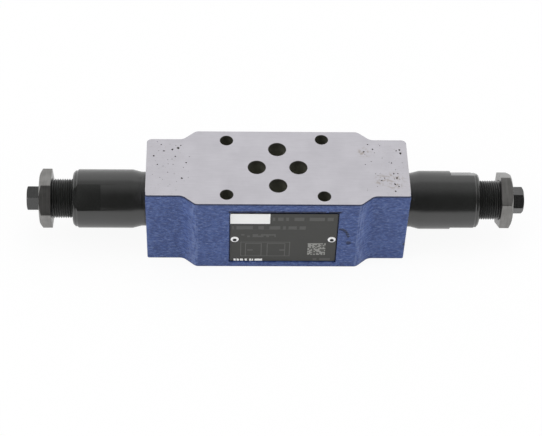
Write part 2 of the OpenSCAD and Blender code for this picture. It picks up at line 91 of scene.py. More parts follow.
_, (HALF_LENGTH, HALF_DEPTH, BODY_HEIGHT) = node_box("valve_body")
AXIS_HEIGHT = BODY_HEIGHT / 2
PLATE_LOW, PLATE_HIGH = node_box("nameplate")
PLATE_GAP = 0.4
PLATE_UPPER_GAP = 1.2
POCKET_OPENING = 2.0
POCKET_LOW: Point = (PLATE_LOW[0] - PLATE_GAP, -HALF_DEPTH - POCKET_OPENING, PLATE_LOW[2] - PLATE_GAP)
POCKET_HIGH: Point = (PLATE_HIGH[0] + PLATE_GAP, PLATE_HIGH[1], PLATE_HIGH[2] + PLATE_UPPER_GAP)
RIVET_PLACES: tuple[Pair, ...] = ((-17.9, 17.5), (23.1, 17.5))
RIVET_HOLE_R = 1.05


def srgb(red: float, green: float, blue: float) -> Colour:
    """Turn a colour as a screen shows it into linear light.

    Args:
        red: Red, from 0 to 255.
        green: Green, from 0 to 255.
        blue: Blue, from 0 to 255.

    Returns:
        The linear colour with full alpha.
    """
    def linear(level: float) -> float:
        """One channel as linear light."""
        share = level / 255
        return share / 12.92 if share <= 0.04045 else ((share + 0.055) / 1.055) ** 2.4

    return (linear(red), linear(green), linear(blue), 1.0)


class Sock:
    """An output socket whose operators add Math nodes to its tree."""

    def __init__(self, tree: "Tree", socket: bpy.types.NodeSocket | None) -> None:
        """Wrap a socket of a tree."""
        self.tree = tree
        self.socket = socket

    def output(self, name: str | int) -> "Sock":
        """Another output of the same node."""
        return Sock(self.tree, self.socket.node.outputs[name])

    def __add__(self, other: "Sock | float") -> "Sock":
        """Sum."""
        return self.tree.math("ADD", self, other)

    def __radd__(self, other: float) -> "Sock":
        """Reflected sum."""
        return self.tree.math("ADD", other, self)

    def __sub__(self, other: "Sock | float") -> "Sock":
        """Difference."""
        return self.tree.math("SUBTRACT", self, other)

    def __rsub__(self, other: float) -> "Sock":
        """Reflected difference."""
        return self.tree.math("SUBTRACT", other, self)

    def __mul__(self, other: "Sock | float") -> "Sock":
        """Product."""
        return self.tree.math("MULTIPLY", self, other)

    def __rmul__(self, other: float) -> "Sock":
        """Reflected product."""
        return self.tree.math("MULTIPLY", other, self)

    def __truediv__(self, other: "Sock | float") -> "Sock":
        """Quotient."""
        return self.tree.math("DIVIDE", self, other)

    def __rtruediv__(self, other: float) -> "Sock":
        """Reflected quotient."""
        return self.tree.math("DIVIDE", other, self)

    def __pow__(self, other: float) -> "Sock":
        """Power."""
        return self.tree.math("POWER", self, other)

    def __abs__(self) -> "Sock":
        """Size without sign."""
        return self.tree.math("ABSOLUTE", self)

    def above(self, limit: float) -> "Sock":
        """1 where the value is above the limit, else 0."""
        return self.tree.math("GREATER_THAN", self, limit)

    def below(self, limit: float) -> "Sock":
        """1 where the value is below the limit, else 0."""
        return self.tree.math("LESS_THAN", self, limit)

    def within(self, low: float, high: float) -> "Sock":
        """1 between two limits, else 0."""
        return self.above(low) * self.below(high)

    def least(self, other: "Sock | float") -> "Sock":
        """The smaller of two values."""
        return self.tree.math("MINIMUM", self, other)

    def most(self, other: "Sock | float") -> "Sock":
        """The larger of two values."""
        return self.tree.math("MAXIMUM", self, other)

    def floor(self) -> "Sock":
        """The whole number below."""
        return self.tree.math("FLOOR", self)

    def rise(self, low: float, high: float) -> "Sock":
        """A smooth step from 0 at low to 1 at high."""
        sockets = {"Value": self, "From Min": low, "From Max": high}
        return self.tree.node("ShaderNodeMapRange", {"interpolation_type": "SMOOTHSTEP"}, sockets)


class Tree:
    """A node tree that grows by calls."""

    def __init__(self, tree: bpy.types.NodeTree) -> None:
        """Wrap an empty node tree."""
        self.tree = tree

    def node(
        self,
        kind: str,
        settings: dict[str, object] | None = None,
        sockets: dict[str | int, object] | None = None,
        out: str | int | None = 0,
    ) -> Sock:
        """Add any node.

        Args:
            kind: The node's type.
            settings: Its settings, which are set first.
            sockets: Values or links of its inputs, by name or number.
            out: The output that is wanted, or None for a node without outputs.

        Returns:
            The wanted output.
        """
        made = self.tree.nodes.new(kind)
        for name, value in (settings or {}).items():
            setattr(made, name, value)
        for name, value in (sockets or {}).items():
            if isinstance(value, Sock):
                self.tree.links.new(value.socket, made.inputs[name])
            else:
                made.inputs[name].default_value = value
        return Sock(self, None if out is None else made.outputs[out])

    def math(self, operation: str, *values: Sock | float) -> Sock:
        """Add a Math node on one, two or three values."""
        return self.node("ShaderNodeMath", {"operation": operation}, dict(enumerate(values)))

    def vector(self, operation: str, *values: object) -> Sock:
        """Add a Vector Math node that gives a vector."""
        return self.node("ShaderNodeVectorMath", {"operation": operation}, dict(enumerate(values)))

    def measure(self, operation: str, *values: object) -> Sock:
        """Add a Vector Math node that gives a number."""
        return self.node("ShaderNodeVectorMath", {"operation": operation}, dict(enumerate(values)), "Value")

    def mix(self, share: Sock | float, low: Sock | Colour, high: Sock | Colour) -> Sock:
        """Mix two colours by a share from 0 to 1."""
        return self.node("ShaderNodeMix", {"data_type": "RGBA"}, {"Factor": share, 6: low, 7: high}, 2)


class Surface(Tree):
    """A material's tree, with the patterns that the finishes share."""

    def place(self) -> Sock:
        """Object coordinates in millimetres, as a vector."""
        return self.vector("MULTIPLY", self.node("ShaderNodeTexCoord", out="Object"), (1 / MM,) * 3)

    def axes(self) -> tuple[Sock, Sock, Sock]:
        """Object coordinates in millimetres, as three values."""
        split = self.node("ShaderNodeSeparateXYZ", sockets={0: self.place()})
        return split, split.output("Y"), split.output("Z")

    def noise(self, grain: float, detail: float = 2.0, stretch: Point = (1, 1, 1)) -> Sock:
        """Fractal noise.

        Args:
            grain: Size of its grains in millimetres.
            detail: Number of finer layers.
            stretch: How much longer the grains are along X, Y and Z.

        Returns:
            Values around 0.5.
        """
        place = self.vector("MULTIPLY", self.place(), tuple(1 / (grain * along) for along in stretch))
        sockets = {"Vector": place, "Scale": 1.0, "Detail": detail, "Roughness": NOISE_ROUGHNESS}
        return self.node("ShaderNodeTexNoise", sockets=sockets)

    def spot(self, centre: Point, radius: float) -> Sock:
        """A soft round spot, 1 in its middle, around a point in millimetres."""
        return 1 - self.measure("DISTANCE", self.place(), centre).rise(SPOT_CORE * radius, radius)

    def spots(self, places: Sequence[Spot]) -> Sock:
        """Soft round spots, each given by its centre and radius in millimetres."""
        return reduce(Sock.most, (self.spot(*place) for place in places))

    def bump(self, height: Sock, depth: float, strength: float = 1.0) -> Sock:
        """A Bump node for heights from 0 to 1, with its depth in millimetres."""
        sockets = {"Strength": strength, "Distance": depth * MM, "Height": height}
        return self.node("ShaderNodeBump", sockets=sockets)


def light_paths(tree: Tree) -> tuple[Sock, Sock]:
    """1 for rays straight from the eye, and 1 for rays that are mirrored or pass through glass."""
    straight = tree.node("ShaderNodeLightPath", out="Is Camera Ray")
    return straight, straight.output("Is Glossy Ray").most(straight.output("Is Transmission Ray"))


@dataclass(frozen=True)
class Finish:
    """A named finish that becomes one material."""

    name: str

    def material(self) -> bpy.types.Material:
        """Make the finish's material, or find the one made before.

        Returns:
            The material.
        """
        found = bpy.data.materials.get(self.name)
        if found:
            return found
        made = bpy.data.materials.new(self.name)
        made.use_nodes = True
        made.node_tree.nodes.clear()
        tree = Surface(made.node_tree)
        tree.node("ShaderNodeOutputMaterial", sockets={"Surface": self.shader(tree)}, out=None)
        return made

    def shader(self, tree: Surface) -> Sock:
        """The finish's shader, a Principled one."""
        return tree.node("ShaderNodeBsdfPrincipled", sockets=self.sockets(tree))

    def sockets(self, tree: Surface) -> dict[str, object]:
        """The values and links of the Principled shader, by socket name."""
        raise NotImplementedError


@dataclass(frozen=True)
class CastPaint(Finish):
    """Blue paint over the sand-cast sides."""

    blue: Colour = srgb(80, 102, 158)
    shade: Colour = srgb(54, 74, 128)
    # Lighter paint along the flank crests: worn paint and a painted highlight.
    rubbed_and_sheen: Colour = srgb(128, 144, 188)
    # Painted shade colour for the edges, the plate's pocket and the shadow under its lip.
    painted_shade_navy: Colour = srgb(18, 24, 52)
    nick: Colour = srgb(30, 36, 62)
    speck: Colour = srgb(124, 138, 178)
    roughness: float = 0.36
    roughness_swing: float = 0.2
    shine: float = 0.4
    grain_size: float = 0.6
    lump_size: float = 1.1
    cover_size: float = 7.0
    ripple: Point = (1.9, 1.9, 1.0)
    relief_share: float = 0.7
    relief_depth: float = 0.9
    grain_share: float = 0.7
    lump_share: float = 0.6
    cover_share: float = 0.2
    tone_range: Pair = (0.6, 0.9)
    speck_grain: Pair = (0.56, 0.68)
    speck_lumps: Pair = (0.45, 0.6)
    speck_share: float = 0.6
    streak_size: float = 0.8
    streak_stretch: Point = (1.0, 1.0, 7.0)
    streak_range: Pair = (0.4, 0.62)
    crest_x: Pair = (33.0, 33.8)
    flank_x: Pair = (35.0, 38.5)
    rub_and_sheen_share: float = 0.4
    cut_edge_shade_z: Pair = (BODY_HEIGHT - 0.9, BODY_HEIGHT - 0.5)
    cut_edge_shade_share: float = 0.85
    low_edge_shade_z: Pair = (0.3, 0.8)
    low_edge_shade_share: float = 0.4
    pocket_margin: float = 0.1
    pocket_y: Pair = (-20.95, -20.75)
    pocket_shade_share: float = 0.2
    shaded_x: Pair = (24.6, 25.3)
    shaded_z: Pair = (34.0, 34.9)
    shaded_share: float = 0.7
    lip_blend: float = 0.3
    lip_end: Pair = (25.6, 27.0)
    lip_drop: float = 0.5
    lip_z: Pair = (35.5, 36.1)
    lip_shadow_share: float = 0.95
    nick_share: float = 0.8
    nicks: tuple[Spot, ...] = (
        ((26.3, -HALF_DEPTH, 24.7), 0.9),
        ((27.2, -HALF_DEPTH, 24.4), 1.0),
        ((28.1, -HALF_DEPTH, 23.8), 1.0),
        ((28.9, -HALF_DEPTH, 22.8), 0.9),
        ((29.5, -HALF_DEPTH, 21.5), 0.9),
        ((29.9, -HALF_DEPTH, 20.2), 0.8),
        ((30.3, -HALF_DEPTH, 15.9), 1.4),
        ((54.9, -16.2, 9.7), 1.2),
    )

    def rub_and_sheen_streaks(self, tree: Surface, across: Sock) -> Sock:
        """Upright lighter strokes on the flanks: worn paint and a painted highlight along the convex crests.

        Args:
            tree: The material's tree.
            across: Place along X.

        Returns:
            The share of worn and highlighted paint.
        """
        rub_sheen = tree.noise(self.streak_size, detail=2.0, stretch=self.streak_stretch).rise(*self.streak_range)
        outward = abs(across)
        return outward.rise(*self.crest_x) * (1 - outward.rise(*self.flank_x)) * rub_sheen

    def shadows(self, across: Sock, depth: Sock, up: Sock) -> Sock:
        """Painted shade along the upper and lower edges and in the plate's pocket, and a painted shadow on
        the lip above it.

        Args:
            across: Place along X.
            depth: Place along Y.
            up: Place along Z.

        Returns:
            The share of painted shade.
        """
        left, low = POCKET_LOW[0] - self.pocket_margin, POCKET_LOW[2] - self.pocket_margin
        right, high = POCKET_HIGH[0] + self.pocket_margin, POCKET_HIGH[2] + self.pocket_margin
        # Painted shade in the plate's pocket, darker towards its right and upper sides.
        pocket = depth.rise(*self.pocket_y) * depth.below(0.0)
        pocket = pocket * across.within(left, right) * up.within(low, high)
        shaded = across.rise(*self.shaded_x).most(up.rise(*self.shaded_z))
        pocket = pocket * (shaded * self.shaded_share + self.pocket_shade_share)
        # Painted shadow of the pocket's upper lip: a dark band on the front face along the pocket's upper
        # edge.
        lip = across.rise(left - self.lip_blend, left) * (1 - across.rise(*self.lip_end))
        lip = lip * up.above(high - self.lip_drop) * (1 - up.rise(*self.lip_z))
        lip = lip * depth.below(self.pocket_y[0]) * self.lip_shadow_share
        # Painted shade: a dark band under the upper cut edge and one along the foot.
        edges = up.rise(*self.cut_edge_shade_z) * self.cut_edge_shade_share
        edges = edges.most((1 - up.rise(*self.low_edge_shade_z)) * self.low_edge_shade_share)
        return edges.most(pocket).most(lip)

    def sockets(self, tree: Surface) -> dict[str, object]:
        """Grainy paint, worn and with a painted highlight along the ridges, and with painted shade under the
        cut edges and in the plate's pocket.

        Args:
            tree: The material's tree.

        Returns:
            Socket names with their values or links.
        """
        across, depth, up = tree.axes()
        grain = tree.noise(self.grain_size, detail=3.0, stretch=self.ripple)
        lumps = tree.noise(self.lump_size, detail=1.0, stretch=self.ripple)
        cover = tree.noise(self.cover_size)
        nicked = tree.spots(self.nicks) * self.nick_share
        tone = grain * self.grain_share + lumps * self.lump_share + cover * self.cover_share
        specks = grain.rise(*self.speck_grain) * lumps.rise(*self.speck_lumps)
        base = tree.mix(tone.rise(*self.tone_range), self.shade, self.blue)
        base = tree.mix(specks * self.speck_share, base, self.speck)
        # Worn paint and a painted highlight along the flank crests.
        base = tree.mix(self.rub_and_sheen_streaks(tree, across) * self.rub_and_sheen_share, base, self.rubbed_and_sheen)
        # Painted shade and shadow mixed into the paint.
        base = tree.mix(self.shadows(across, depth, up), base, self.painted_shade_navy)
        relief = grain * self.relief_share + lumps * self.relief_share - nicked
        return {
            "Base Color": tree.mix(nicked, base, self.nick),
            "Roughness": grain * self.roughness_swing + self.roughness,
            "Specular IOR Level": self.shine,
            "Normal": tree.bump(relief, self.relief_depth),
        }


@dataclass(frozen=True)
class MilledIron(Finish):
    """Bare milled faces of the casting; in its bores and pores the walls are dark at the rim and painted
    lighter deeper in, against the shade there.
    """

    bright: Colour = srgb(188, 186, 192)
    dull: Colour = srgb(178, 176, 182)
    rim: Colour = srgb(68, 68, 60)
    bore: Colour = srgb(160, 160, 144)
    rust: Colour = srgb(132, 118, 100)
    metallic: float = 0.3
    bore_roughness: float = 0.62
    face_polish: float = 0.24
    line_swing: float = 0.08
    face_skin: Pair = (0.02, 0.12)
    end_x: Pair = (HALF_LENGTH - 0.25, HALF_LENGTH - 0.19)
    bore_depth: float = 8.5
    line_size: float = 0.35
    line_stretch: Point = (22.0, 1.0, 1.0)
    line_share: float = 0.5
    line_depth: float = 0.012
    line_strength: float = 0.5
    cloud_size: float = 9.0
    cloud_share: float = 0.7
    tone_range: Pair = (0.35, 0.85)
    speck_size: float = 0.55
    speck_range: Pair = (0.66, 0.74)
    speck_x: Pair = (36.0, 41.0)
    speck_share: float = 0.3
    stain_size: float = 1.3
    stain_range: Pair = (0.46, 0.66)
    stain_share: float = 0.55
    stains: tuple[Spot, ...] = (
        ((48.6, -7.5, BODY_HEIGHT), 6.5),
        ((37.0, 9.0, BODY_HEIGHT), 4.0),
        ((43.4, -7.0, BODY_HEIGHT), 4.0),
    )

    def sockets(self, tree: Surface) -> dict[str, object]:
        """Fine milling lines on the outer faces; walls inside dark at the rim and painted lighter deeper in.

        Args:
            tree: The material's tree.

        Returns:
            Socket names with their values or links.
        """
        across, _, up = tree.axes()
        inward = up.least(BODY_HEIGHT - up)
        face = (1 - inward.rise(*self.face_skin)).most(abs(across).rise(*self.end_x))
        lines = tree.noise(self.line_size, detail=2.0, stretch=self.line_stretch)
        cloud = tree.noise(self.cloud_size, detail=3.0)
        specks = tree.noise(self.speck_size, detail=1.0).rise(*self.speck_range)
        specks = specks * abs(across).rise(*self.speck_x)
        stains = tree.spots(self.stains) * tree.noise(self.stain_size, detail=3.0).rise(*self.stain_range)
        tone = (lines * self.line_share + cloud * self.cloud_share).rise(*self.tone_range)
        metal = tree.mix(tone, self.dull, self.bright)
        metal = tree.mix((stains * self.stain_share).most(specks * self.speck_share), metal, self.rust)
        # Painted light: bore walls get lighter with depth to make up for the shade deep inside.
        walls = tree.mix(inward.rise(0.0, self.bore_depth), self.rim, self.bore)
        return {
            "Base Color": tree.mix(face, walls, metal),
            "Metallic": self.metallic,
            "Roughness": self.bore_roughness - face * self.face_polish + lines * self.line_swing,
            "Normal": tree.bump(lines, self.line_depth, self.line_strength),
        }


@dataclass(frozen=True)
class PrintedPlate(Finish):
    """Dark name plate with blank printed fields, bars and line boxes; areas are left, right, low and high."""

    ground: Colour = srgb(70, 70, 68)
    white: Colour = srgb(250, 250, 248)
    faint: Colour = srgb(97, 97, 95)
    pale: Colour = srgb(150, 150, 146)
    shadow: Colour = srgb(20, 21, 28)
    roughness: float = 0.42
    roughness_swing: float = 0.16
    shine: float = 0.25
    brush_size: float = 0.3
    brush_stretch: Point = (18.0, 1.0, 1.0)
    brush_depth: float = 0.008
    brush_strength: float = 0.4
    field_area: Area = (-20.0, -3.2, 27.5, 33.7)
    note_area: Area = (-18.8, -6.0, 3.55, 4.85)
    note_size: float = 0.9
    note_stretch: Point = (1.0, 1.0, 6.0)
    note_limit: float = 0.42
    bars: tuple[Area, ...] = (
        (-2.2, 11.0, 29.4, 31.5),
        (13.2, 23.2, 29.4, 31.5),
        (-18.9, 11.8, 23.9, 26.0),
        (-15.2, -0.6, 19.0, 20.9),
        (15.6, 23.6, 3.9, 5.3),
    )
    dash_length: float = 1.15
    row_height: float = 4.0
    row_jump: float = 31.0
    dash_limit: float = 0.2
    dash_share: float = 0.7
    boxes: tuple[Area, ...] = (
        (-15.4, 5.6, 6.6, 15.9),
        (-13.4, -6.4, 6.6, 15.0),
        (-4.2, 3.6, 6.6, 15.0),
        (-12.4, -10.2, 10.2, 11.0),
        (1.2, 3.2, 10.2, 11.0),
    )
    line: float = 0.32
    square_area: Area = (13.1, 20.7, 7.5, 15.1)
    cell: float = 0.63
    cell_limit: float = 0.42
    cell_ground: float = 0.15
    upper_edge: float = 33.76

    @staticmethod
    def inside(across: Sock, up: Sock, area: Area, grow: float = 0.0) -> Sock:
        """1 inside an area that is grown by a width, else 0."""
        left, right, low, high = area
        return across.within(left - grow, right + grow) * up.within(low - grow, high + grow)

    def dashes(self, tree: Surface, across: Sock, up: Sock) -> Sock:
        """Bars broken into short dashes.

        Args:
            tree: The material's tree.
            across: Place along X.
            up: Place along Z.

        Returns:
            The share of faint print.
        """
        bars = reduce(operator.add, (self.inside(across, up, area) for area in self.bars))
        number = (across / self.dash_length + (up / self.row_height).floor() * self.row_jump).floor()
        chance = tree.node("ShaderNodeTexWhiteNoise", {"noise_dimensions": "1D"}, {"W": number})
        return bars * chance.above(self.dash_limit) * self.dash_share

    def frames(self, across: Sock, up: Sock) -> Sock:
        """Thin frames of the line boxes.

        Args:
            across: Place along X.
            up: Place along Z.

        Returns:
            1 on a frame, else 0.
        """
        inside = self.inside
        lines = (inside(across, up, box) - inside(across, up, box, -self.line) for box in self.boxes)
        return reduce(Sock.most, lines)

    def squares(self, tree: Surface, across: Sock, up: Sock) -> Sock:
        """A field of small squares at random.

        Args:
            tree: The material's tree.
            across: Place along X.
            up: Place along Z.

        Returns:
            The share of pale print.
        """
        sockets = {"X": (across / self.cell).floor(), "Y": (up / self.cell).floor()}
        cells = tree.node("ShaderNodeCombineXYZ", sockets=sockets)
        chance = tree.node("ShaderNodeTexWhiteNoise", {"noise_dimensions": "2D"}, {"Vector": cells})
        share = chance.above(self.cell_limit) * (1 - self.cell_ground) + self.cell_ground
        return share * self.inside(across, up, self.square_area)

    def sockets(self, tree: Surface) -> dict[str, object]:
        """Printed fields over brushed dark metal.

        Args:
            tree: The material's tree.

        Returns:
            Socket names with their values or links.
        """
        across, _, up = tree.axes()
        brushed = tree.noise(self.brush_size, detail=2.0, stretch=self.brush_stretch)
        broken = tree.noise(self.note_size, detail=0.0, stretch=self.note_stretch).above(self.note_limit)
        note = self.inside(across, up, self.note_area) * broken
        white = self.inside(across, up, self.field_area).most(note)
        faint = self.dashes(tree, across, up).most(self.frames(across, up))
        base = tree.mix(faint, self.ground, self.faint)
        base = tree.mix(self.squares(tree, across, up), base, self.pale)
        base = tree.mix(white, base, self.white)
        return {
            "Base Color": tree.mix(up.above(self.upper_edge), base, self.shadow),
            "Metallic": 0.0,
            "Roughness": brushed * self.roughness_swing + self.roughness,
            "Specular IOR Level": self.shine,
            "Normal": tree.bump(brushed, self.brush_depth, self.brush_strength),
        }


@dataclass(frozen=True)
class Steel(Finish):
    """Turned or ground steel, from bright to oxide black."""

    tone: Colour
    deep: Colour
    metallic: float
    roughness: float
    shine: float
    line_size: float
    line_depth: float
    blotch_size: float
    roughness_swing: float
    line_stretch: Point = (1.0, 40.0, 40.0)
    line_strength: float = 0.6
    tone_share: float = 0.6
    tone_range: Pair = (0.35, 0.85)

    def sockets(self, tree: Surface) -> dict[str, object]:
        """Turning lines around the cartridge axis over a blotchy tone.

        Args:
            tree: The material's tree.

        Returns:
            Socket names with their values or links.
        """
        lines = tree.noise(self.line_size, detail=2.0, stretch=self.line_stretch)
        blotches = tree.noise(self.blotch_size, detail=3.0)
        share = (lines * self.tone_share + blotches * self.tone_share).rise(*self.tone_range)
        return {
            "Base Color": tree.mix(share, self.deep, self.tone),
            "Metallic": self.metallic,
            "Roughness": blotches * self.roughness_swing + lines * self.roughness_swing + self.roughness,
            "Specular IOR Level": self.shine,
            "Normal": tree.bump(lines, self.line_depth, self.line_strength),
        }


@dataclass(frozen=True)
class RivetMetal(Finish):
    """Drive rivets in a bright white that stands for their painted reflection, with a dimple painted black
    for its shade.
    """

    bright: Colour = srgb(250, 250, 250)
    black: Colour = srgb(12, 12, 12)
    metallic: float = 0.2
    roughness: float = 0.3
    roughness_swing: float = 0.2
    scuff_size: float = 0.4
    scuff_depth: float = 0.02
    scuff_strength: float = 0.4
    dimple_r: float = 0.88
    dimple_blend: float = 0.08

    def dimple(self, tree: Surface, across: Sock, up: Sock, place: Pair) -> Sock:
        """1 inside the dimple of the rivet at a place, else 0."""
        apart = tree.math("SQRT", (across - place[0]) ** 2 + (up - place[1]) ** 2)
        return 1 - apart.rise(self.dimple_r - self.dimple_blend, self.dimple_r + self.dimple_blend)

    def sockets(self, tree: Surface) -> dict[str, object]:
        """Bright white for the painted reflection, with painted shade inside the dimples.

        Args:
            tree: The material's tree.

        Returns:
            Socket names with their values or links.
        """
        across, _, up = tree.axes()
        dark = reduce(operator.add, (self.dimple(tree, across, up, place) for place in RIVET_PLACES))
        scuffs = tree.noise(self.scuff_size)
        return {
            # Painted reflection in the bright white, and painted shade in the black dimples.
            "Base Color": tree.mix(dark, self.bright, self.black),
            "Metallic": (1 - dark) * self.metallic,
            "Roughness": scuffs * self.roughness_swing + self.roughness,
            "Normal": tree.bump(scuffs, self.scuff_depth, self.scuff_strength),
        }


@dataclass(frozen=True)
class Rubber(Finish):
    """Matt black rubber of the seal rings."""

    tone: Colour = srgb(34, 34, 35)
    bloom: Colour = srgb(52, 52, 53)
    roughness: float = 0.55
    roughness_swing: float = 0.2
    shine: float = 0.35
    grain_size: float = 0.2
    grain_depth: float = 0.02
    grain_strength: float = 0.5
    dust_size: float = 2.5
    dust_range: Pair = (0.4, 0.75)

    def sockets(self, tree: Surface) -> dict[str, object]:
        """Fine grain with a dusty bloom.

        Args:
            tree: The material's tree.

        Returns:
            Socket names with their values or links.
        """
        grain = tree.noise(self.grain_size, detail=3.0)
        dust = tree.noise(self.dust_size).rise(*self.dust_range)
        return {
            "Base Color": tree.mix(dust, self.tone, self.bloom),
            "Roughness": grain * self.roughness_swing + self.roughness,
            "Specular IOR Level": self.shine,
            "Normal": tree.bump(grain, self.grain_depth, self.grain_strength),
        }


@dataclass(frozen=True)
class PaleFloor(Finish):
    """Pale floor that keeps the soft shadow near the valve and fades to white."""

    tone: Colour = (0.86, 0.86, 0.86, 1.0)
    white_share: float = 0.92
    mirrored_share: float = 0.6
    fade: Pair = (110.0, 260.0)

    def shader(self, tree: Surface) -> Sock:
        """White light over a pale ground that takes the shadow.

        Args:
            tree: The material's tree.

        Returns:
            The shader.
        """
        far = tree.measure("LENGTH", tree.place()).rise(*self.fade)
        straight, mirrored = light_paths(tree)
        seen = straight * (far * (1 - self.white_share) + self.white_share)
        pale = tree.node("ShaderNodeBsdfDiffuse", sockets={"Color": self.tone})
        white = tree.node("ShaderNodeEmission", sockets={"Color": WHITE, "Strength": 1.0})
        share = seen.most(mirrored * self.mirrored_share)
        return tree.node("ShaderNodeMixShader", sockets={0: share, 1: pale, 2: white})


PAINT = CastPaint("blue_cast_paint")
MILLED = MilledIron("milled_iron")
PLATE = PrintedPlate("printed_plate")
RIVET = RivetMetal("bright_rivet")
BARREL = Steel(
    "satin_black_barrel", tone=srgb(26, 27, 26), deep=srgb(18, 19, 17),
    metallic=0.0, roughness=0.18, shine=1.0, roughness_swing=0.06,
    line_size=0.3, line_depth=0.006, blotch_size=6.0,
)
NUT = Steel(
    "dark_turned_nut", tone=srgb(140, 139, 137), deep=srgb(117, 116, 114),
    metallic=0.9, roughness=0.24, shine=0.5, roughness_swing=0.08,
    line_size=0.3, line_depth=0.012, blotch_size=4.0,
)
SCREW = Steel(
    "black_thread", tone=srgb(44, 45, 44), deep=srgb(26, 26, 25),
    metallic=0.0, roughness=0.2, shine=1.0, roughness_swing=0.12,
    line_size=0.5, line_depth=0.006, blotch_size=1.6,
)
TIP = Steel(
    "rough_black_tip", tone=srgb(38, 39, 38), deep=srgb(18, 18, 18),
    metallic=0.0, roughness=0.1, shine=1.0, roughness_swing=0.06,
    line_size=0.6, line_depth=0.008, blotch_size=1.2,
)
GROUND = Steel(
    "ground_steel", tone=srgb(186, 186, 189), deep=srgb(160, 160, 163),
    metallic=1.0, roughness=0.24, shine=0.5, roughness_swing=0.1,
    line_size=0.15, line_depth=0.004, blotch_size=4.0,
)
WIRE = Steel(
    "spring_wire", tone=srgb(150, 150, 154), deep=srgb(112, 112, 116),
    metallic=1.0, roughness=0.26, shine=0.5, roughness_swing=0.12,
    line_size=0.5, line_depth=0.004, blotch_size=3.0,
)
SEAL = Rubber("seal_rubber")
FLOOR = PaleFloor("floor")


class Recipe(Tree):
    """A Geometry Nodes tree with named inputs that ends in Realize Instances and Set Material."""

    def __init__(self, name: str) -> None:
        """Start a tree with one geometry in and one out.

        Args:
            name: The tree's name.
        """
        super().__init__(bpy.data.node_groups.new(name, "GeometryNodeTree"))
        self.keys: dict[str, str] = {}
        interface = self.tree.interface
        interface.new_socket("Geometry", in_out="INPUT", socket_type="NodeSocketGeometry")
        interface.new_socket("Geometry", in_out="OUTPUT", socket_type="NodeSocketGeometry")
        self.source = self.node("NodeGroupInput")

    def size(self, name: str, kind: str = "NodeSocketFloat") -> Sock:
        """Add a named input.

        Args:
            name: The input's name.
            kind: The input's socket type.

        Returns:
            The input inside the tree.
        """
        made = self.tree.interface.new_socket(name, in_out="INPUT", socket_type=kind)
        self.keys[name] = made.identifier
        return self.source.output(name)

    def end(self, geometry: Sock) -> "Recipe":
        """Close the tree.

        Args:
            geometry: What it gives, before it is made real and dressed.

        Returns:
            The finished tree.
        """
        real = self.node("GeometryNodeRealizeInstances", sockets={"Geometry": geometry})
        material = self.size("Material", "NodeSocketMaterial")
        dressed = self.node("GeometryNodeSetMaterial", sockets={"Geometry": real, "Material": material})
        self.node("NodeGroupOutput", sockets={0: dressed}, out=None)
        return self

    def apply(self, target: bpy.types.Object, **sizes: object) -> None:
        """Turn an object's mesh into the tree's plain result.

        Args:
            target: The object.
            sizes: Values of the named inputs.
        """
        modifier = target.modifiers.new(self.tree.name, "NODES")
        modifier.node_group = self.tree
        for name, value in sizes.items():
            modifier[self.keys[name]] = value
        settle_modifiers(target)


def link(made: bpy.types.Object) -> None:
    """Put an object in the scene."""
    bpy.context.scene.collection.objects.link(made)


def settle_modifiers(target: bpy.types.Object) -> None:
    """Replace an object's mesh by its evaluated one and drop its modifiers.

    Args:
        target: The object.
    """
    depsgraph = bpy.context.evaluated_depsgraph_get()
    result = bpy.data.meshes.new_from_object(target.evaluated_get(depsgraph), depsgraph=depsgraph)
    before = target.data
    target.modifiers.clear()
    target.data = result
    result.name = target.name
    bpy.data.meshes.remove(before)


@dataclass
class Shape:
    """Corners in millimetres and faces of a skin."""

    points: list[Point] = field(default_factory=list)
    faces: list[tuple[int, ...]] = field(default_factory=list)

    def ring(self, points: Iterable[Point]) -> list[int]:
        """Add corners.

        Args:
            points: Their places.

        Returns:
            Their numbers.
        """
        first = len(self.points)
        self.points.extend(points)
        return list(range(first, len(self.points)))

    def band(self, lower: Sequence[int], upper: Sequence[int]) -> None:
        """Join two rings of the same length by quads.

        Args:
            lower: Corners of one ring.
            upper: Corners of the other.
        """
        count = len(lower)
        for i in range(count):
            j = (i + 1) % count
            self.faces.append((lower[i], lower[j], upper[j], upper[i]))

    def loft(self, rings: Sequence[Sequence[int]], closed: bool = False) -> None:
        """Join rings in order.

        Args:
            rings: Corners of each ring.
            closed: True where the last ring joins the first, else both ends are capped.
        """
        for lower, upper in zip(rings, rings[1:]):
            self.band(lower, upper)
        if closed:
            self.band(rings[-1], rings[0])
        else:
            self.faces.append(tuple(rings[0]))
            self.faces.append(tuple(rings[-1]))

    def mesh(self, name: str) -> bpy.types.Mesh:
        """Make a plain mesh.

        Args:
            name: Its name.

        Returns:
            The mesh, in metres.
        """
        made = bpy.data.meshes.new(name)
        made.from_pydata([Vector(point) * MM for point in self.points], [], self.faces)
        return made

    def object(self, name: str) -> bpy.types.Object:
        """Make a Blender object with outward faces.

        Args:
            name: Its name.

        Returns:
            The object, linked to the scene.
        """
        made = bpy.data.objects.new(name, self.mesh(name))
        link(made)
        tidy_mesh(made)
        return made


def tidy_mesh(target: bpy.types.Object) -> None:
    """Merge an object's doubles and turn its faces outwards.

    Args:
        target: The object.
    """
    work = bmesh.new()
    work.from_mesh(target.data)
    bmesh.ops.remove_doubles(work, verts=work.verts, dist=MERGE_REACH)
    bmesh.ops.dissolve_degenerate(work, edges=work.edges, dist=SLIVER_REACH)
    bmesh.ops.recalc_face_normals(work, faces=work.faces)
    work.to_mesh(target.data)
    work.free()


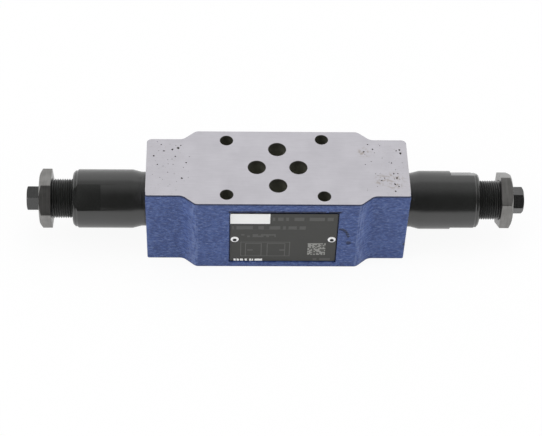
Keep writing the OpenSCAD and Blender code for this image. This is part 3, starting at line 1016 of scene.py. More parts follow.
def shade(target: bpy.types.Object, *finishes: Finish) -> None:
    """Give an object its finishes and smooth faces with sharp edges.

    Args:
        target: The object.
        finishes: Finishes of its material slots in order.
    """
    mesh = target.data
    mesh.materials.clear()
    for finish in finishes:
        mesh.materials.append(finish.material())
    mesh.polygons.foreach_set("use_smooth", [True] * len(mesh.polygons))
    mesh.set_sharp_from_angle(angle=SHARP_ANGLE)


def cut(target: bpy.types.Object, tool: Shape) -> None:
    """Cut a tool's skins out of an object.

    Args:
        target: The object.
        tool: One or more closed skins that don't meet each other.
    """
    cutter = tool.object("cutter")
    modifier = target.modifiers.new("cut", "BOOLEAN")
    modifier.operation = "DIFFERENCE"
    modifier.solver = "MANIFOLD"
    modifier.object = cutter
    settle_modifiers(target)
    mesh = cutter.data
    bpy.data.objects.remove(cutter)
    bpy.data.meshes.remove(mesh)


def soften(target: bpy.types.Object, width: float) -> None:
    """Round an object's sharp edges.

    Args:
        target: The object.
        width: Width of the rounding in millimetres.
    """
    modifier = target.modifiers.new("edges", "BEVEL")
    modifier.width = width * MM
    modifier.segments = EDGE_SEGMENTS
    modifier.limit_method = "ANGLE"
    modifier.angle_limit = SHARP_ANGLE
    modifier.use_clamp_overlap = False
    settle_modifiers(target)


def settle(piece: bpy.types.Object, body: str, slot: str, *nodes: str) -> None:
    """Fix a finished piece to its body and hide the CAD nodes it replaces.

    Args:
        piece: The finished piece.
        body: The body that carries it.
        slot: Not used.
        nodes: The CAD nodes that it stands for.
    """
    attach(piece, body)
    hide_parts(*nodes)
    LOG.info("%s: %d faces on %s", piece.name, len(piece.data.polygons), body)


def dress(node: str, finish: Finish) -> None:
    """Give a CAD node that stays a finish.

    Args:
        node: The node's name.
        finish: Its finish.
    """
    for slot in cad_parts[node].material_slots:
        slot.material = finish.material()
    LOG.info("%s: CAD node in %s", node, finish.name)


class Side(Enum):
    """The two cartridges, by the sign of their outward direction along X."""

    LEFT = -1
    RIGHT = 1

    @property
    def label(self) -> str:
        """The side's word in node names."""
        return self.name.lower()

    def at(self, station: float, across: float, up: float) -> Point:
        """A point at a station along the cartridge, counted across to the rear and upwards."""
        return (self.value * station, self.value * across, AXIS_HEIGHT + up)

    def around(self, station: float, turn: float, radius: float) -> Point:
        """A point around the cartridge axis, its turn counted from the rear towards the top."""
        return self.at(station, radius * math.cos(turn), radius * math.sin(turn))


NUT_TURNS = {Side.LEFT: math.radians(13), Side.RIGHT: math.radians(23)}


def circle_turns(count: int) -> list[float]:
    """Evenly spaced turns of a full circle."""
    return [FULL_TURN * i / count for i in range(count)]


def spin(shape: Shape, side: Side, profile: Sequence[Pair], count: int, closed: bool = False) -> None:
    """Add a turned skin around a cartridge axis.

    Args:
        shape: The shape that takes it.
        side: The cartridge.
        profile: Stations and radii along the outline.
        count: Number of faces around.
        closed: True where the outline closes on itself, as round a bore.
    """
    turns = circle_turns(count)
    rings = [shape.ring(side.around(s, t, r) for t in turns) for s, r in profile]
    shape.loft(rings, closed)


def drill(shape: Shape, place: Pair, profile: Sequence[Pair], count: int) -> None:
    """Add an upright turned skin.

    Args:
        shape: The shape that takes it.
        place: Its place across and along the mounting face.
        profile: Heights and radii.
        count: Number of faces around.
    """
    x, y = place
    turns = circle_turns(count)
    rings = [shape.ring((x + r * math.cos(t), y + r * math.sin(t), z) for t in turns) for z, r in profile]
    shape.loft(rings)


def tube(shape: Shape, corner: Corner, radius: float, ends: Pair) -> None:
    """Add a straight round skin.

    Args:
        shape: The shape that takes it.
        corner: Turns a place along the axis and two places across it into a point.
        radius: Its radius.
        ends: Places of both ends along the axis.
    """
    circle = [(radius * math.cos(t), radius * math.sin(t)) for t in circle_turns(TUBE_FACES)]
    shape.loft([shape.ring(corner(along, a, b) for a, b in circle) for along in ends])


def rivet_holes(ends: Pair) -> Shape:
    """Holes for both rivets.

    Args:
        ends: Places of both ends along Y.

    Returns:
        The cutting skins.
    """
    shape = Shape()
    for x, z in RIVET_PLACES:
        tube(shape, lambda along, a, b: (x + a, along, z + b), RIVET_HOLE_R, ends)
    return shape


def block(shape: Shape, corner: Corner, low: Point, high: Point) -> None:
    """Add a box between two corners.

    Args:
        shape: The shape that takes it.
        corner: Turns the box's own coordinates into a point.
        low: Its lowest coordinates.
        high: Its highest coordinates.
    """
    flat = ((low[0], low[1]), (high[0], low[1]), (high[0], high[1]), (low[0], high[1]))
    shape.loft([shape.ring(corner(a, b, c) for a, b in flat) for c in (low[2], high[2])])


@dataclass(frozen=True)
class WallPoint:
    """A point of the casting's outline with its outward direction."""

    x: float
    y: float
    out_x: float
    out_y: float
    rough: bool

    def turned(self, sign_x: int, sign_y: int) -> "WallPoint":
        """The same point in another quarter."""
        out = (sign_x * self.out_x, sign_y * self.out_y)
        return WallPoint(sign_x * self.x, sign_y * self.y, *out, self.rough)


@dataclass
class Casting:
    """The valve body: cast and painted sides, milled faces, ports, bores and pores."""

    half_end: float = 16.3
    flank_start: float = 33.3
    flank_slope: float = math.radians(41)
    flank_outer_r: float = 3.0
    flank_inner_r: float = 4.2
    rear_corner_r: float = 2.2
    front_corner_r: float = 0.8
    grid: float = 0.5
    arc_faces: int = 4
    broken_edge: float = 0.18
    foot_r: float = 0.4
    foot_steps: int = 4
    relief_depth: float = 0.2
    relief_grain: float = 2.0
    relief_margin: float = 0.8
    seed: int = 7
    port_r: float = 3.75
    port_faces: int = 64
    ports: tuple[Pair, ...] = ((0.0, 10.4), (0.0, -10.4), (-8.75, 0.0), (8.75, 0.0))
    screw_r: float = 2.75
    screw_faces: int = 56
    screws: tuple[Pair, ...] = ((-21.45, 15.5), (-21.45, -15.5), (19.05, 16.25), (19.05, -16.25))
    hole_edge: float = 0.15
    recess_r: float = 6.0
    recess_depth: float = 1.35
    recess_faces: int = 72
    bore_faces: int = 96
    bore_profile: tuple[Pair, ...] = (
        (4.5, 6.0), (17.0, 6.0), (17.0, 9.0), (42.0, 9.0),
        (42.0, 11.0), (54.9, 11.0), (55.2, 11.3), (57.0, 11.3),
    )
    gallery_r: float = 2.25
    gallery_y: float = -9.5
    gallery_reach: float = 24.7
    rivet_hole_ends: Pair = (-20.6, -14.5)
    wall_tilt: float = 0.9
    end_margin: float = 0.03
    side_margin: float = 0.1
    pocket_margin: float = 0.05
    hole_margin: float = 0.3
    pores: tuple[Point, ...] = (
        (-52.1, 6.3, 0.36), (-47.9, 9.2, 0.34), (-49.1, 12.9, 0.26), (-44.3, 10.1, 0.38), (-41.9, 11.0, 0.55),
        (-40.8, 12.5, 0.28), (-43.0, 6.1, 0.32), (-50.5, 1.4, 0.28), (-38.4, 2.5, 0.3), (-40.1, -6.4, 0.36),
        (38.6, 13.6, 0.3), (40.6, 10.8, 0.32), (36.8, 9.3, 0.34), (52.0, 10.5, 0.42), (52.3, 8.4, 0.5),
        (50.6, 10.0, 0.3), (48.2, 2.9, 0.28), (48.7, -3.3, 0.32), (50.4, -3.2, 0.26), (44.7, -5.8, 0.26),
        (49.9, -5.7, 0.38), (43.4, -7.2, 0.3), (48.9, -9.2, 0.42), (50.4, -10.4, 0.3), (48.8, -13.2, 0.34),
    )
    fine_pores: int = 46
    fine_pore_zone: Pair = (36.0, 53.5)
    fine_pore_r: Pair = (0.1, 0.2)
    pore_margin: float = 1.5
    pore_gap: float = 0.4
    pore_faces: int = 9
    pore_ragged: Pair = (0.7, 1.2)
    pore_mouth: tuple[Pair, ...] = ((0.15, 1.5), (-0.05, 1.2))
    pore_floor: tuple[Pair, ...] = ((-0.6, 0.8), (-1.1, 0.3))

    def line(self, start: Pair, stop: Pair, out: Pair, rough: bool) -> list[WallPoint]:
        """Points along a straight wall.

        Args:
            start: Its first point.
            stop: Its last point, which isn't returned.
            out: Its outward direction.
            rough: True where it is as cast.

        Returns:
            The points.
        """
        count = max(1, math.ceil(math.dist(start, stop) / self.grid))
        points = []
        for i in range(count):
            share = i / count
            x = start[0] + share * (stop[0] - start[0])
            y = start[1] + share * (stop[1] - start[1])
            points.append(WallPoint(x, y, *out, rough))
        return points

    def arc(self, centre: Pair, radius: float, start: float, stop: float, out: int) -> list[WallPoint]:
        """Points along a round wall.

        Args:
            centre: Its centre.
            radius: Its radius.
            start: Turn of its first point.
            stop: Turn of its last point, which isn't returned.
            out: 1 for a round wall, -1 for a hollow one.

        Returns:
            The points.
        """
        count = max(self.arc_faces, math.ceil(abs(stop - start) * radius / self.grid))
        points = []
        for i in range(count):
            turn = start + i / count * (stop - start)
            c, s = math.cos(turn), math.sin(turn)
            points.append(WallPoint(centre[0] + radius * c, centre[1] + radius * s, out * c, out * s, True))
        return points

    def quarter(self, corner_r: float) -> list[WallPoint]:
        """Outline of one quarter, from the middle of a side to the middle of an end.

        Args:
            corner_r: Rounding of the upright edge at the end.

        Returns:
            The outline's points.
        """
        slope, outer, inner = self.flank_slope, self.flank_outer_r, self.flank_inner_r
        arcs = outer + inner
        step = HALF_DEPTH - self.half_end
        straight = (step - arcs * (1 - math.cos(slope))) / math.sin(slope)
        start = self.flank_start
        end = start + arcs * math.sin(slope) + straight * math.cos(slope)
        crest = (start, HALF_DEPTH - outer)
        hollow = (end, self.half_end + inner)
        corner = (HALF_LENGTH - corner_r, self.half_end - corner_r)
        leave = QUARTER_TURN - slope
        out = (math.cos(leave), math.sin(leave))
        top = (crest[0] + outer * out[0], crest[1] + outer * out[1])
        foot = (hollow[0] - inner * out[0], hollow[1] - inner * out[1])
        points = self.line((0.0, HALF_DEPTH), (start, HALF_DEPTH), (0.0, 1.0), True)
        points += self.arc(crest, outer, QUARTER_TURN, leave, 1)
        points += self.line(top, foot, out, True)
        points += self.arc(hollow, inner, math.pi + leave, 3 * QUARTER_TURN, -1)
        points += self.line((end, self.half_end), (corner[0], self.half_end), (0.0, 1.0), True)
        points += self.arc(corner, corner_r, QUARTER_TURN, 0.0, 1)
        points += self.line((HALF_LENGTH, corner[1]), (HALF_LENGTH, 0.0), (1.0, 0.0), False)
        points.append(WallPoint(HALF_LENGTH, 0.0, 1.0, 0.0, False))
        return points

    def outline(self) -> list[WallPoint]:
        """The whole outline, once around.

        Returns:
            Its points.
        """
        rear, front = self.quarter(self.rear_corner_r), self.quarter(self.front_corner_r)
        points = [p.turned(1, 1) for p in rear]
        points += [p.turned(1, -1) for p in reversed(front[:-1])]
        points += [p.turned(-1, -1) for p in front[1:]]
        points += [p.turned(-1, 1) for p in reversed(rear[1:-1])]
        return points

    def levels(self) -> list[Pair]:
        """Heights and insets of the wall's rings: a round foot, an upright wall and a broken upper edge.

        Returns:
            The levels from below.
        """
        foot = self.foot_r
        turns = [QUARTER_TURN * i / self.foot_steps for i in range(self.foot_steps)]
        upright = BODY_HEIGHT - self.broken_edge - foot
        count = round(upright / self.grid)
        levels = [(foot * (1 - math.cos(t)), foot * (1 - math.sin(t))) for t in turns]
        levels += [(foot + upright * i / count, 0.0) for i in range(count + 1)]
        levels.append((BODY_HEIGHT, self.broken_edge))
        return levels

    def shell(self) -> bpy.types.Object:
        """The block with a fine grid on its walls and a mask for the cast relief.

        Returns:
            The block.
        """
        wall = self.outline()
        shape, relief, rings = Shape(), [], []
        for z, inset in self.levels():
            rings.append(shape.ring((p.x - inset * p.out_x, p.y - inset * p.out_y, z) for p in wall))
            room = min(z, BODY_HEIGHT - z) - self.broken_edge
            share = min(1.0, max(0.0, room / self.relief_margin))
            relief += [share if p.rough else 0.0 for p in wall]
        shape.loft(rings)
        made = shape.object("casting")
        mask = made.data.attributes.new("relief", "FLOAT", "POINT")
        mask.data.foreach_set("value", relief)
        return made

    def relief_recipe(self) -> Recipe:
        """The sand mould's uneven print, pushed into the walls along their normals.

        Returns:
            The recipe.
        """
        recipe = Recipe("sand_cast_relief")
        depth, grain, seed = recipe.size("Depth"), recipe.size("Grain"), recipe.size("Seed")
        mask = recipe.node("GeometryNodeInputNamedAttribute", {"data_type": "FLOAT"}, {"Name": "relief"})
        sockets = {"W": seed, "Scale": 1 / grain, "Detail": 2.0, "Roughness": 0.5}
        noise = recipe.node("ShaderNodeTexNoise", {"noise_dimensions": "4D"}, sockets)
        sockets = {0: recipe.node("GeometryNodeInputNormal"), "Scale": (noise - 0.5) * depth * 2 * mask}
        push = recipe.node("ShaderNodeVectorMath", {"operation": "SCALE"}, sockets)
        sockets = {"Geometry": recipe.source, "Offset": push}
        return recipe.end(recipe.node("GeometryNodeSetPosition", sockets=sockets))

    def pore_tool(self) -> Shape:
        """Small ragged pits in the upper face: the named ones and fine ones at both ends.

        Returns:
            The cutting skins.
        """
        rng = random.Random(self.seed)
        pits = list(self.pores)
        reach = self.half_end - self.pore_margin
        while len(pits) < len(self.pores) + self.fine_pores:
            x = rng.choice((-1, 1)) * rng.uniform(*self.fine_pore_zone)
            y = rng.uniform(-reach, reach)
            radius = rng.uniform(*self.fine_pore_r)
            if all(math.dist((x, y), pit[:2]) > radius + pit[2] + self.pore_gap for pit in pits):
                pits.append((x, y, radius))
        shape = Shape()
        turns = circle_turns(self.pore_faces)
        for x, y, radius in pits:
            ragged = [radius * rng.uniform(*self.pore_ragged) for _ in turns]
            levels = [*self.pore_mouth, *((deep * radius, wide) for deep, wide in self.pore_floor)]
            shape.loft([shape.ring(
                (x + wide * r * math.cos(t), y + wide * r * math.sin(t), BODY_HEIGHT + lift)
                for r, t in zip(ragged, turns)
            ) for lift, wide in levels])
        return shape

    def tools(self) -> list[Shape]:
        """The skins of all drills and cutters, those that meet each other in separate steps.

        Returns:
            The cutting skins in order.
        """
        holes, recesses, bores, gallery, pocket = (Shape() for _ in range(5))
        edge, over, top = self.hole_edge, OVERRUN, BODY_HEIGHT
        r, flare = self.port_r, self.port_r + edge
        port = ((-over, r), (top - edge, r), (top, flare), (top + over, flare))
        recess = ((-over, self.recess_r), (self.recess_depth, self.recess_r))
        for place in self.ports:
            drill(holes, place, port, self.port_faces)
            drill(recesses, place, recess, self.recess_faces)
        r, flare = self.screw_r, self.screw_r + edge
        screw = ((-over, flare), (0.0, flare), (edge, r), (top - edge, r), (top, flare), (top + over, flare))
        for place in self.screws:
            drill(holes, place, screw, self.screw_faces)
        for side in Side:
            spin(bores, side, self.bore_profile, self.bore_faces)
        ends = (-self.gallery_reach, self.gallery_reach)
        tube(gallery, lambda along, a, b: (along, self.gallery_y + a, AXIS_HEIGHT + b), self.gallery_r, ends)
        block(pocket, lambda a, b, c: (a, b, c), POCKET_LOW, POCKET_HIGH)
        rivets = rivet_holes(self.rivet_hole_ends)
        return [holes, recesses, bores, gallery, pocket, rivets, self.pore_tool()]

    def in_pocket(self, x: float, y: float, z: float) -> bool:
        """True where a point lies in the plate's pocket."""
        low, high, margin = POCKET_LOW, POCKET_HIGH, self.pocket_margin
        return (y < high[1] + margin and low[0] - margin < x < high[0] + margin
                and low[2] - margin < z < high[2] + margin)

    def in_hole(self, x: float, y: float) -> bool:
        """True where a point lies in one of the upright holes."""
        holes = [*((p, self.screw_r) for p in self.screws), *((p, self.recess_r) for p in self.ports)]
        return any(math.dist((x, y), place) < r + self.hole_margin for place, r in holes)

    def is_painted(self, centre: Vector, normal: Vector) -> bool:
        """Tell paint from milled metal at a face.

        Args:
            centre: The face's middle, in metres.
            normal: Its outward direction.

        Returns:
            True on the cast sides and in the plate's pocket.
        """
        x, y, z = centre / MM
        on_wall = abs(normal.z) < self.wall_tilt and abs(x) < HALF_LENGTH - self.end_margin
        outer = abs(y) > self.half_end - self.rear_corner_r - self.side_margin
        return self.in_pocket(x, y, z) or (on_wall and outer and not self.in_hole(x, y))

    def build(self) -> None:
        """Make the casting and fix it to the housing."""
        made = self.shell()
        sizes = {"Depth": self.relief_depth * MM, "Grain": self.relief_grain * MM, "Seed": float(self.seed)}
        self.relief_recipe().apply(made, **sizes, Material=PAINT.material())
        for tool in self.tools():
            cut(made, tool)
        tidy_mesh(made)
        shade(made, PAINT, MILLED)
        for face in made.data.polygons:
            face.material_index = 0 if self.is_painted(face.center, face.normal) else 1
        settle(made, "housing", "body_casting", "valve_body")


@dataclass
class NamePlate:
    """The thin printed plate and its two drive rivets."""

    corner_r: float = 0.8
    corner_steps: int = 6
    edge: float = 0.08
    head_r: float = 1.7
    head_height: float = 0.45
    head_faces: int = 40
    dome_steps: int = 8
    dimple_r: float = 0.8
    dimple_lip: float = 0.06
    dimple_depth: float = 0.4
    dimple_sink: float = 0.05
    dimple_point: float = 0.02
    dimple_flat: float = 0.85
    dimple_slope: float = 0.08
    shank_r: float = 1.0
    shank_length: float = 5.0
    shank_chamfer: float = 0.3

    def corner_points(self, inset: float, y: float) -> list[Point]:
        """Outline of the plate.

        Args:
            inset: How far it is drawn in.
            y: Its depth.

        Returns:
            Its points, once around.
        """
        points = []
        r = self.corner_r
        for quarter, (sx, sz) in enumerate(((1, 1), (-1, 1), (-1, -1), (1, -1))):
            x = (PLATE_HIGH[0] if sx > 0 else PLATE_LOW[0]) - sx * r
            z = (PLATE_HIGH[2] if sz > 0 else PLATE_LOW[2]) - sz * r
            for i in range(self.corner_steps + 1):
                turn = (quarter + i / self.corner_steps) * QUARTER_TURN
                points.append((x + (r - inset) * math.cos(turn), y, z + (r - inset) * math.sin(turn)))
        return points

    def build_plate(self) -> None:
        """Make the plate with a broken edge and two rivet holes."""
        shape = Shape()
        front, back = PLATE_LOW[1], PLATE_HIGH[1]
        levels = ((0.0, back), (0.0, front + self.edge), (self.edge, front))
        shape.loft([shape.ring(self.corner_points(inset, y)) for inset, y in levels])
        made = shape.object("name_plate")
        cut(made, rivet_holes((front - OVERRUN, back + OVERRUN)))
        tidy_mesh(made)
        shade(made, PLATE)
        settle(made, "housing", "plate", "nameplate")

    def rivet_profile(self) -> list[Pair]:
        """Outline of one rivet, from the dimple's floor to the shank's tip.

        Returns:
            Heights above the plate and radii.
        """
        dome_r = (self.head_r ** 2 + self.head_height ** 2) / (2 * self.head_height)
        floor = self.head_height - self.dimple_depth
        profile = [
            (floor - self.dimple_sink, self.dimple_point),
            (floor, self.dimple_flat * self.dimple_r),
            (floor + self.dimple_slope, self.dimple_r),
        ]
        rim = self.dimple_r + self.dimple_lip
        for i in range(self.dome_steps + 1):
            r = rim + (self.head_r - rim) * i / self.dome_steps
            profile.append((self.head_height - dome_r + math.sqrt(dome_r ** 2 - r ** 2), r))
        profile += [
            (0.0, self.shank_r),
            (-self.shank_length + self.shank_chamfer, self.shank_r),
            (-self.shank_length, self.shank_r - self.shank_chamfer),
        ]
        return profile

    def rivet_recipe(self) -> Recipe:
        """One rivet set along a row of places.

        Returns:
            The recipe.
        """
        recipe = Recipe("rivet_row")
        first, step = recipe.size("First", "NodeSocketVector"), recipe.size("Step", "NodeSocketVector")
        sockets = {"Count": recipe.size("Count", "NodeSocketInt"), "Start Location": first, "Offset": step}
        row = recipe.node("GeometryNodeMeshLine", sockets=sockets)
        sockets = {"Points": row, "Instance": recipe.source}
        return recipe.end(recipe.node("GeometryNodeInstanceOnPoints", sockets=sockets))

    def build_rivets(self) -> None:
        """Make both rivets from one turned shape."""
        shape = Shape()
        turns = circle_turns(self.head_faces)
        shape.loft([shape.ring((r * math.cos(t), -height, r * math.sin(t)) for t in turns)
                    for height, r in self.rivet_profile()])
        made = shape.object("drive_rivets")
        (x0, z0), (x1, z1) = RIVET_PLACES
        first = Vector((x0, PLATE_LOW[1], z0)) * MM
        step = Vector((x1 - x0, 0.0, z1 - z0)) * MM
        count = len(RIVET_PLACES)
        self.rivet_recipe().apply(made, First=first, Step=step, Count=count, Material=RIVET.material())
        tidy_mesh(made)
        shade(made, RIVET)
        settle(made, "housing", "rivet", "nameplate_rivets")

    def build(self) -> None:
        """Make the plate and its rivets."""
        self.build_plate()
        self.build_rivets()


@dataclass
class Cartridge:
    """One cartridge's outer pieces: barrel, adjusting screw and lock nut."""

    side: Side
    edge_r: float = 0.1
    barrel_faces: int = 144
    barrel_profile: tuple[Pair, ...] = (
        (42.0, 7.5), (42.0, 10.7), (42.25, 10.95), (49.1, 10.95), (49.1, 9.2), (51.3, 9.2), (51.3, 10.95),
        (55.2, 10.95), (55.2, 11.5), (55.25, 11.55), (57.2, 11.55), (57.6, 11.58), (61.1, 12.46),
        (61.5, 12.5), (84.2, 12.5), (84.75, 11.95), (85.5, 11.95), (86.4, 11.05), (86.4, 8.9),
        (85.95, 8.45), (71.7, 8.45), (71.7, 7.5),
    )
    flat_turn: float = math.radians(50)
    flat_stations: Pair = (74.4, 90.0)
    flat_reach: float = 11.25
    cutter_reach: float = 20.0
    screw_start: float = 77.3
    screw_end: float = 100.5
    crest_r: float = 8.4
    root_r: float = 7.79
    pitch: float = 1.0
    thread_chamfer: float = 0.7
    thread_faces: int = 96
    strip_corners: int = 9
    flank_rise: float = 1.35
    root_flat: float = 0.15
    tip_turn: float = math.radians(49)
    tip_end: float = 106.1
    tip_across: float = 10.0
    nut_start: float = 95.5
    nut_across: float = 22.0
    nut_bore_r: float = 8.45
    nut_sink: float = 0.5
    hex_slope: float = math.tan(math.radians(30))
    hex_land: float = 0.05
    hex_faces: int = 16

    def build_barrel(self) -> None:
        """Turn the barrel, mill its two spanner flats and break its edges."""
        shape, flats = Shape(), Shape()
        spin(shape, self.side, self.barrel_profile, self.barrel_faces, closed=True)
        name = self.side.label + "_barrel"
        made = shape.object(name + "_turned")
        (start, end), far = self.flat_stations, self.cutter_reach
        for turn in (self.flat_turn, self.flat_turn + math.pi):
            c, s = math.cos(turn), math.sin(turn)
            block(flats, lambda a, b, d: self.side.at(a, b * c - d * s, b * s + d * c),
                  (start, self.flat_reach, -far), (end, far, far))
        cut(made, flats)
        tidy_mesh(made)
        soften(made, self.edge_r)
        shade(made, BARREL)
        settle(made, "housing", "barrel", name)

    def thread_recipe(self) -> Recipe:
        """A right-hand thread: a strip with a V profile wound around the axis, with chamfered ends.

        Returns:
            The recipe.
        """
        recipe = Recipe(self.side.label + "_thread")
        start, end, pitch = recipe.size("Start"), recipe.size("End"), recipe.size("Pitch")
        crest, root, chamfer = recipe.size("Crest"), recipe.size("Root"), recipe.size("Chamfer")
        outward, height = recipe.size("Outward"), recipe.size("Axis height")
        per_turn = recipe.size("Faces per turn", "NodeSocketInt")
        turns = (end - start) / pitch + 1
        # One corner more than faces, and half a corner because the count is cut to a whole number
        length = turns * per_turn + 1.5
        sockets = {"Size X": 1.0, "Size Y": 1.0, "Vertices X": length, "Vertices Y": self.strip_corners}
        grid = recipe.node("GeometryNodeMeshGrid", sockets=sockets)
        flat = recipe.node("ShaderNodeSeparateXYZ", sockets={0: recipe.node("GeometryNodeInputPosition")})
        wound = (flat + 0.5) * turns
        share = flat.output("Y") + 0.5
        turn = wound * FULL_TURN
        station = (start + (wound + share - 1) * pitch).most(start).least(end)
        flank = ((1 - abs(share * 2 - 1)) * self.flank_rise - self.root_flat).most(0.0).least(1.0)
        radius = root + (crest - root) * flank
        radius = radius.least(crest - chamfer + (station - start)).least(crest - chamfer + (end - station))
        across = radius * recipe.math("COSINE", turn)
        up = radius * recipe.math("SINE", turn)
        sockets = {"X": station * outward, "Y": across * outward, "Z": up + height}
        place = recipe.node("ShaderNodeCombineXYZ", sockets=sockets)
        wrapped = recipe.node("GeometryNodeSetPosition", sockets={"Geometry": grid, "Position": place})
        sockets = {"Geometry": wrapped, "Distance": MERGE_REACH}
        return recipe.end(recipe.node("GeometryNodeMergeByDistance", sockets=sockets))

    def hexagon(self, turn: float, across: float) -> list[Pair]:
        """Outline of a hexagon.

        Args:
            turn: The turn of a corner.
            across: Distance across the flats.

        Returns:
            Turns and radii of its points.
        """
        count = 6 * self.hex_faces
        sixth = FULL_TURN / 6
        points = []
        for i in range(count):
            off = sixth * ((i % self.hex_faces) / self.hex_faces) - sixth / 2
            points.append((turn + FULL_TURN * i / count, across / 2 / math.cos(off)))
        return points

    def hex_rings(self, shape: Shape, turn: float, across: float, stations: Pair) -> list[list[int]]:
        """Rings of a hexagon piece: its plain inner end, its slanted outer end and the flat inside it.

        Args:
            shape: The shape that takes the rings.
            turn: The turn of a corner.
            across: Distance across the flats.
            stations: Stations of the plain end and the slanted end.

        Returns:
            The rings in order.
        """
        start, end = stations
        outline = self.hexagon(turn, across)
        flat_r = across / 2 - self.hex_land
        lower = [self.side.around(start, t, r) for t, r in outline]
        upper = [self.side.around(end - (r - flat_r) * self.hex_slope, t, r) for t, r in outline]
        inner = [self.side.around(end, t, flat_r) for t, _ in outline]
        return [shape.ring(points) for points in (lower, upper, inner)]

    def close_screw(self, screw: bpy.types.Object) -> None:
        """Close a wound thread by a flat at its inner end and the hexagon tip at its outer one.

        Args:
            screw: The wound thread.
        """
        tip = Shape()
        rings = self.hex_rings(tip, self.tip_turn, self.tip_across, (self.screw_end, self.tip_end))
        tip.band(rings[0], rings[1])
        tip.band(rings[1], rings[2])
        tip.faces.append(tuple(rings[2]))
        mesh = tip.mesh("tip")
        work = bmesh.new()
        work.from_mesh(screw.data)
        work.from_mesh(mesh)
        bpy.data.meshes.remove(mesh)
        bmesh.ops.remove_doubles(work, verts=work.verts, dist=MERGE_REACH)
        bmesh.ops.dissolve_degenerate(work, edges=work.edges, dist=SLIVER_REACH)
        middle = (self.screw_start + self.screw_end) / 2 * MM
        open_edges = [edge for edge in work.edges if edge.is_boundary]
        bmesh.ops.edgeloop_fill(work, edges=[e for e in open_edges if abs(e.verts[0].co.x) < middle])
        bmesh.ops.bridge_loops(work, edges=[e for e in open_edges if abs(e.verts[0].co.x) >= middle])
        bmesh.ops.recalc_face_normals(work, faces=work.faces)
        work.to_mesh(screw.data)
        work.free()

    def build_screw(self) -> None:
        """Wind the thread and close its ends with a flat and the hexagon tip."""
        name = self.side.label + "_adjusting_screw"
        made = Shape().object(name + "_threaded")
        lengths = {
            "Start": self.screw_start, "End": self.screw_end, "Pitch": self.pitch, "Crest": self.crest_r,
            "Root": self.root_r, "Chamfer": self.thread_chamfer, "Axis height": AXIS_HEIGHT,
        }
        sizes = {label: length * MM for label, length in lengths.items()}
        sizes |= {"Outward": float(self.side.value), "Faces per turn": self.thread_faces}
        self.thread_recipe().apply(made, **sizes, Material=SCREW.material())
        self.close_screw(made)
        shade(made, SCREW, TIP)
        for face in made.data.polygons:
            face.material_index = int(abs(face.center.x) > (self.screw_end + self.hex_land) * MM)
        settle(made, name, "screw", name)

    def build_nut(self) -> None:
        """Make the lock nut with its slanted outer end and countersunk bore."""
        name = self.side.label + "_lock_nut"
        turn, start, end = NUT_TURNS[self.side], self.nut_start, self.screw_end
        r, sink = self.nut_bore_r, self.nut_sink
        bore = ((end, r + sink), (end - sink, r), (start + sink, r), (start, r + sink))
        shape = Shape()
        rings = self.hex_rings(shape, turn, self.nut_across, (start, end))
        turns = [t for t, _ in self.hexagon(turn, self.nut_across)]
        rings += [shape.ring(self.side.around(station, t, radius) for t in turns) for station, radius in bore]
        shape.loft(rings, closed=True)
        made = shape.object(name + "_turned")
        soften(made, self.edge_r)
        shade(made, NUT)
        settle(made, name, "nut", name)

    def build(self) -> None:
        """Make the three outer pieces."""
        self.build_barrel()
        self.build_screw()
        self.build_nut()


@dataclass(frozen=True)
class Spring:
    """A coil spring, shortened at its fixed end to leave room.

    Attributes:
        piece: Its node without the side.
        joint: Not used.
        fixed_end: Station of the end that stays.
        room: What is left free at that end, for the stroke of its neighbour.
        kept: Not used.
    """

    piece: str
    joint: str
    fixed_end: float
    room: float
    kept: float


@dataclass
class InnerWorks:
    """The pieces inside one cartridge: CAD nodes with a finish, and springs copied with smooth wire."""

    side: Side
    steel: tuple[str, ...] = ("spool_sleeve", "main_spool", "pilot_seat", "pilot_poppet", "spring_plate")
    seals: tuple[str, ...] = ("barrel_seal", "sleeve_seal", "spring_plate_seal")
    springs: tuple[Spring, ...] = (
        Spring("main_spring", "main_spool_slide", fixed_end=38.44, room=0.0, kept=0.745),
        Spring("pilot_spring", "spring_plate_slide", fixed_end=47.43, room=0.7, kept=0.654),
    )

    def build_spring(self, spring: Spring) -> None:
        """Copy a spring with smooth wire, shortened by its room at the fixed end.

        Args:
            spring: The spring.
        """
        node = self.side.label + "_" + spring.piece
        made = bpy.data.objects.new(node + "_wire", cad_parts[node].data.copy())
        link(made)
        tidy_mesh(made)
        stays = self.side.value * spring.fixed_end * MM
        moves = max((corner[0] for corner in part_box(node)), key=lambda x: abs(x - stays))
        share = 1 - spring.room * MM / abs(moves - stays)
        shift = Matrix.Translation((moves * (1 - share), 0, 0))
        made.data.transform(shift @ Matrix.Scale(share, 4, (1, 0, 0)))
        shade(made, WIRE)
        settle(made, "housing", "spring", node)
        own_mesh(made)

    def build(self) -> None:
        """Dress the nodes and replace the springs."""
        for piece in self.steel:
            dress(self.side.label + "_" + piece, GROUND)
        for piece in self.seals:
            dress(self.side.label + "_" + piece, SEAL)
        for spring in self.springs:
            self.build_spring(spring)


@dataclass(frozen=True)
class Lamp:
    """A soft round lamp, its place and width in metres and its power in watts."""

    name: str
    place: Point
    width: float
    power: float

    def hang(self) -> None:
        """Hang the lamp, turned to the valve and hidden from mirrored rays."""
        data = bpy.data.lights.new(self.name, "AREA")
        data.shape, data.size, data.energy = "DISK", self.width, self.power
        lamp = bpy.data.objects.new(self.name, data)
        lamp.location = self.place
        lamp.rotation_euler = (-Vector(self.place)).to_track_quat("-Z", "Y").to_euler()
        lamp.visible_glossy = False
        link(lamp)


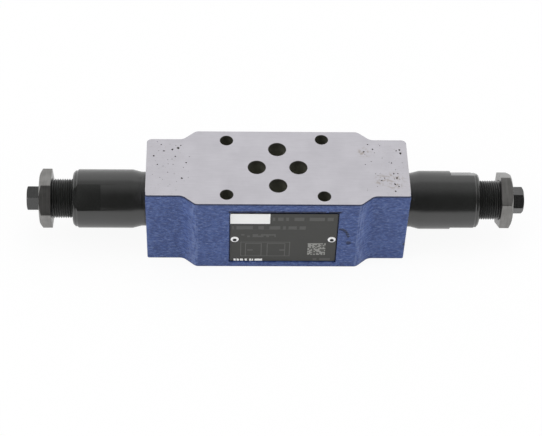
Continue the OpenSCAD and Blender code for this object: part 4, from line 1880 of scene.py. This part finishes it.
@dataclass
class Studio:
    """Pale floor, soft lamps, white surround and the camera."""

    target: Point = (-2.87, -19.28, 29.73)
    yaw: float = math.radians(-2.94)
    elevation: float = math.radians(48.72)
    roll: float = math.radians(2.43)
    distance: float = 700.0
    lens: float = 111.5
    sensor: float = 36.0
    floor_half: float = 3000.0
    floor_drop: float = 0.2
    ambient: float = 0.55
    room: float = 0.1
    overhead: float = 0.45
    overhead_rear: Pair = (-0.6, 0.3)
    overhead_up: Pair = (0.4, 0.8)
    backdrop_slope: float = 0.6
    backdrop_blend: float = 0.12
    lamps: tuple[Lamp, ...] = (
        Lamp("top_lamp", (0.1, 0.25, 1.5), width=1.2, power=8.6),
        Lamp("left_lamp", (-1.1, -0.35, 0.75), width=0.8, power=6.4),
        Lamp("right_lamp", (1.25, -0.1, 0.55), width=0.8, power=5.7),
    )

    def build_camera(self) -> None:
        """Place the camera at the viewing angle."""
        c, s = math.cos(self.elevation), math.sin(self.elevation)
        back = Vector((math.sin(self.yaw) * c, -math.cos(self.yaw) * c, s))
        right = Vector((math.cos(self.yaw), math.sin(self.yaw), 0.0))
        up = back.cross(right)
        across = right * math.cos(self.roll) + up * math.sin(self.roll)
        upright = up * math.cos(self.roll) - right * math.sin(self.roll)
        data = bpy.data.cameras.new("camera")
        data.lens, data.sensor_width, data.sensor_fit = self.lens, self.sensor, "HORIZONTAL"
        camera = bpy.data.objects.new("camera", data)
        place = (Vector(self.target) + back * self.distance) * MM
        turn = Matrix((across, upright, back)).transposed().to_4x4()
        camera.matrix_world = Matrix.Translation(place) @ turn
        link(camera)
        bpy.context.scene.camera = camera

    def build_world(self) -> None:
        """White surround for the eye, with a dim room around the camera for mirrored rays only."""
        world = bpy.data.worlds.new("studio")
        bpy.context.scene.world = world
        world.use_nodes = True
        world.node_tree.nodes.clear()
        tree = Tree(world.node_tree)
        straight, mirrored = light_paths(tree)
        split = tree.node("ShaderNodeSeparateXYZ", sockets={0: tree.node("ShaderNodeTexCoord")})
        rear, up = split.output("Y"), split.output("Z")
        backdrop = (rear - up * self.backdrop_slope).rise(-self.backdrop_blend, self.backdrop_blend)
        glow = rear.rise(*self.overhead_rear) * up.rise(*self.overhead_up) * self.overhead + self.room
        shown = straight.most(mirrored * glow.most(backdrop))
        strength = shown.most((1 - straight.most(mirrored)) * self.ambient)
        light = tree.node("ShaderNodeBackground", sockets={"Color": WHITE, "Strength": strength})
        tree.node("ShaderNodeOutputWorld", sockets={"Surface": light}, out=None)

    def build_floor(self) -> None:
        """Lay the pale floor just below the valve."""
        half, drop = self.floor_half, -self.floor_drop
        shape = Shape()
        corners = ((-half, -half, drop), (half, -half, drop), (half, half, drop), (-half, half, drop))
        shape.faces.append(tuple(shape.ring(corners)))
        floor = shape.object("floor")
        floor.data.materials.append(FLOOR.material())

    def build(self) -> None:
        """Set up the whole studio."""
        self.build_camera()
        for lamp in self.lamps:
            lamp.hang()
        self.build_world()
        self.build_floor()
        bpy.context.scene.view_settings.view_transform = "Standard"


def main() -> None:
    """Build every sub-assembly in order."""
    logging.basicConfig(level=logging.INFO, format="%(message)s")
    Studio().build()
    Casting().build()
    NamePlate().build()
    for port in "ptab":
        dress("port_seal_" + port, SEAL)
    for side in Side:
        Cartridge(side).build()
        InnerWorks(side).build()


if __name__ == "__main__":
    main()
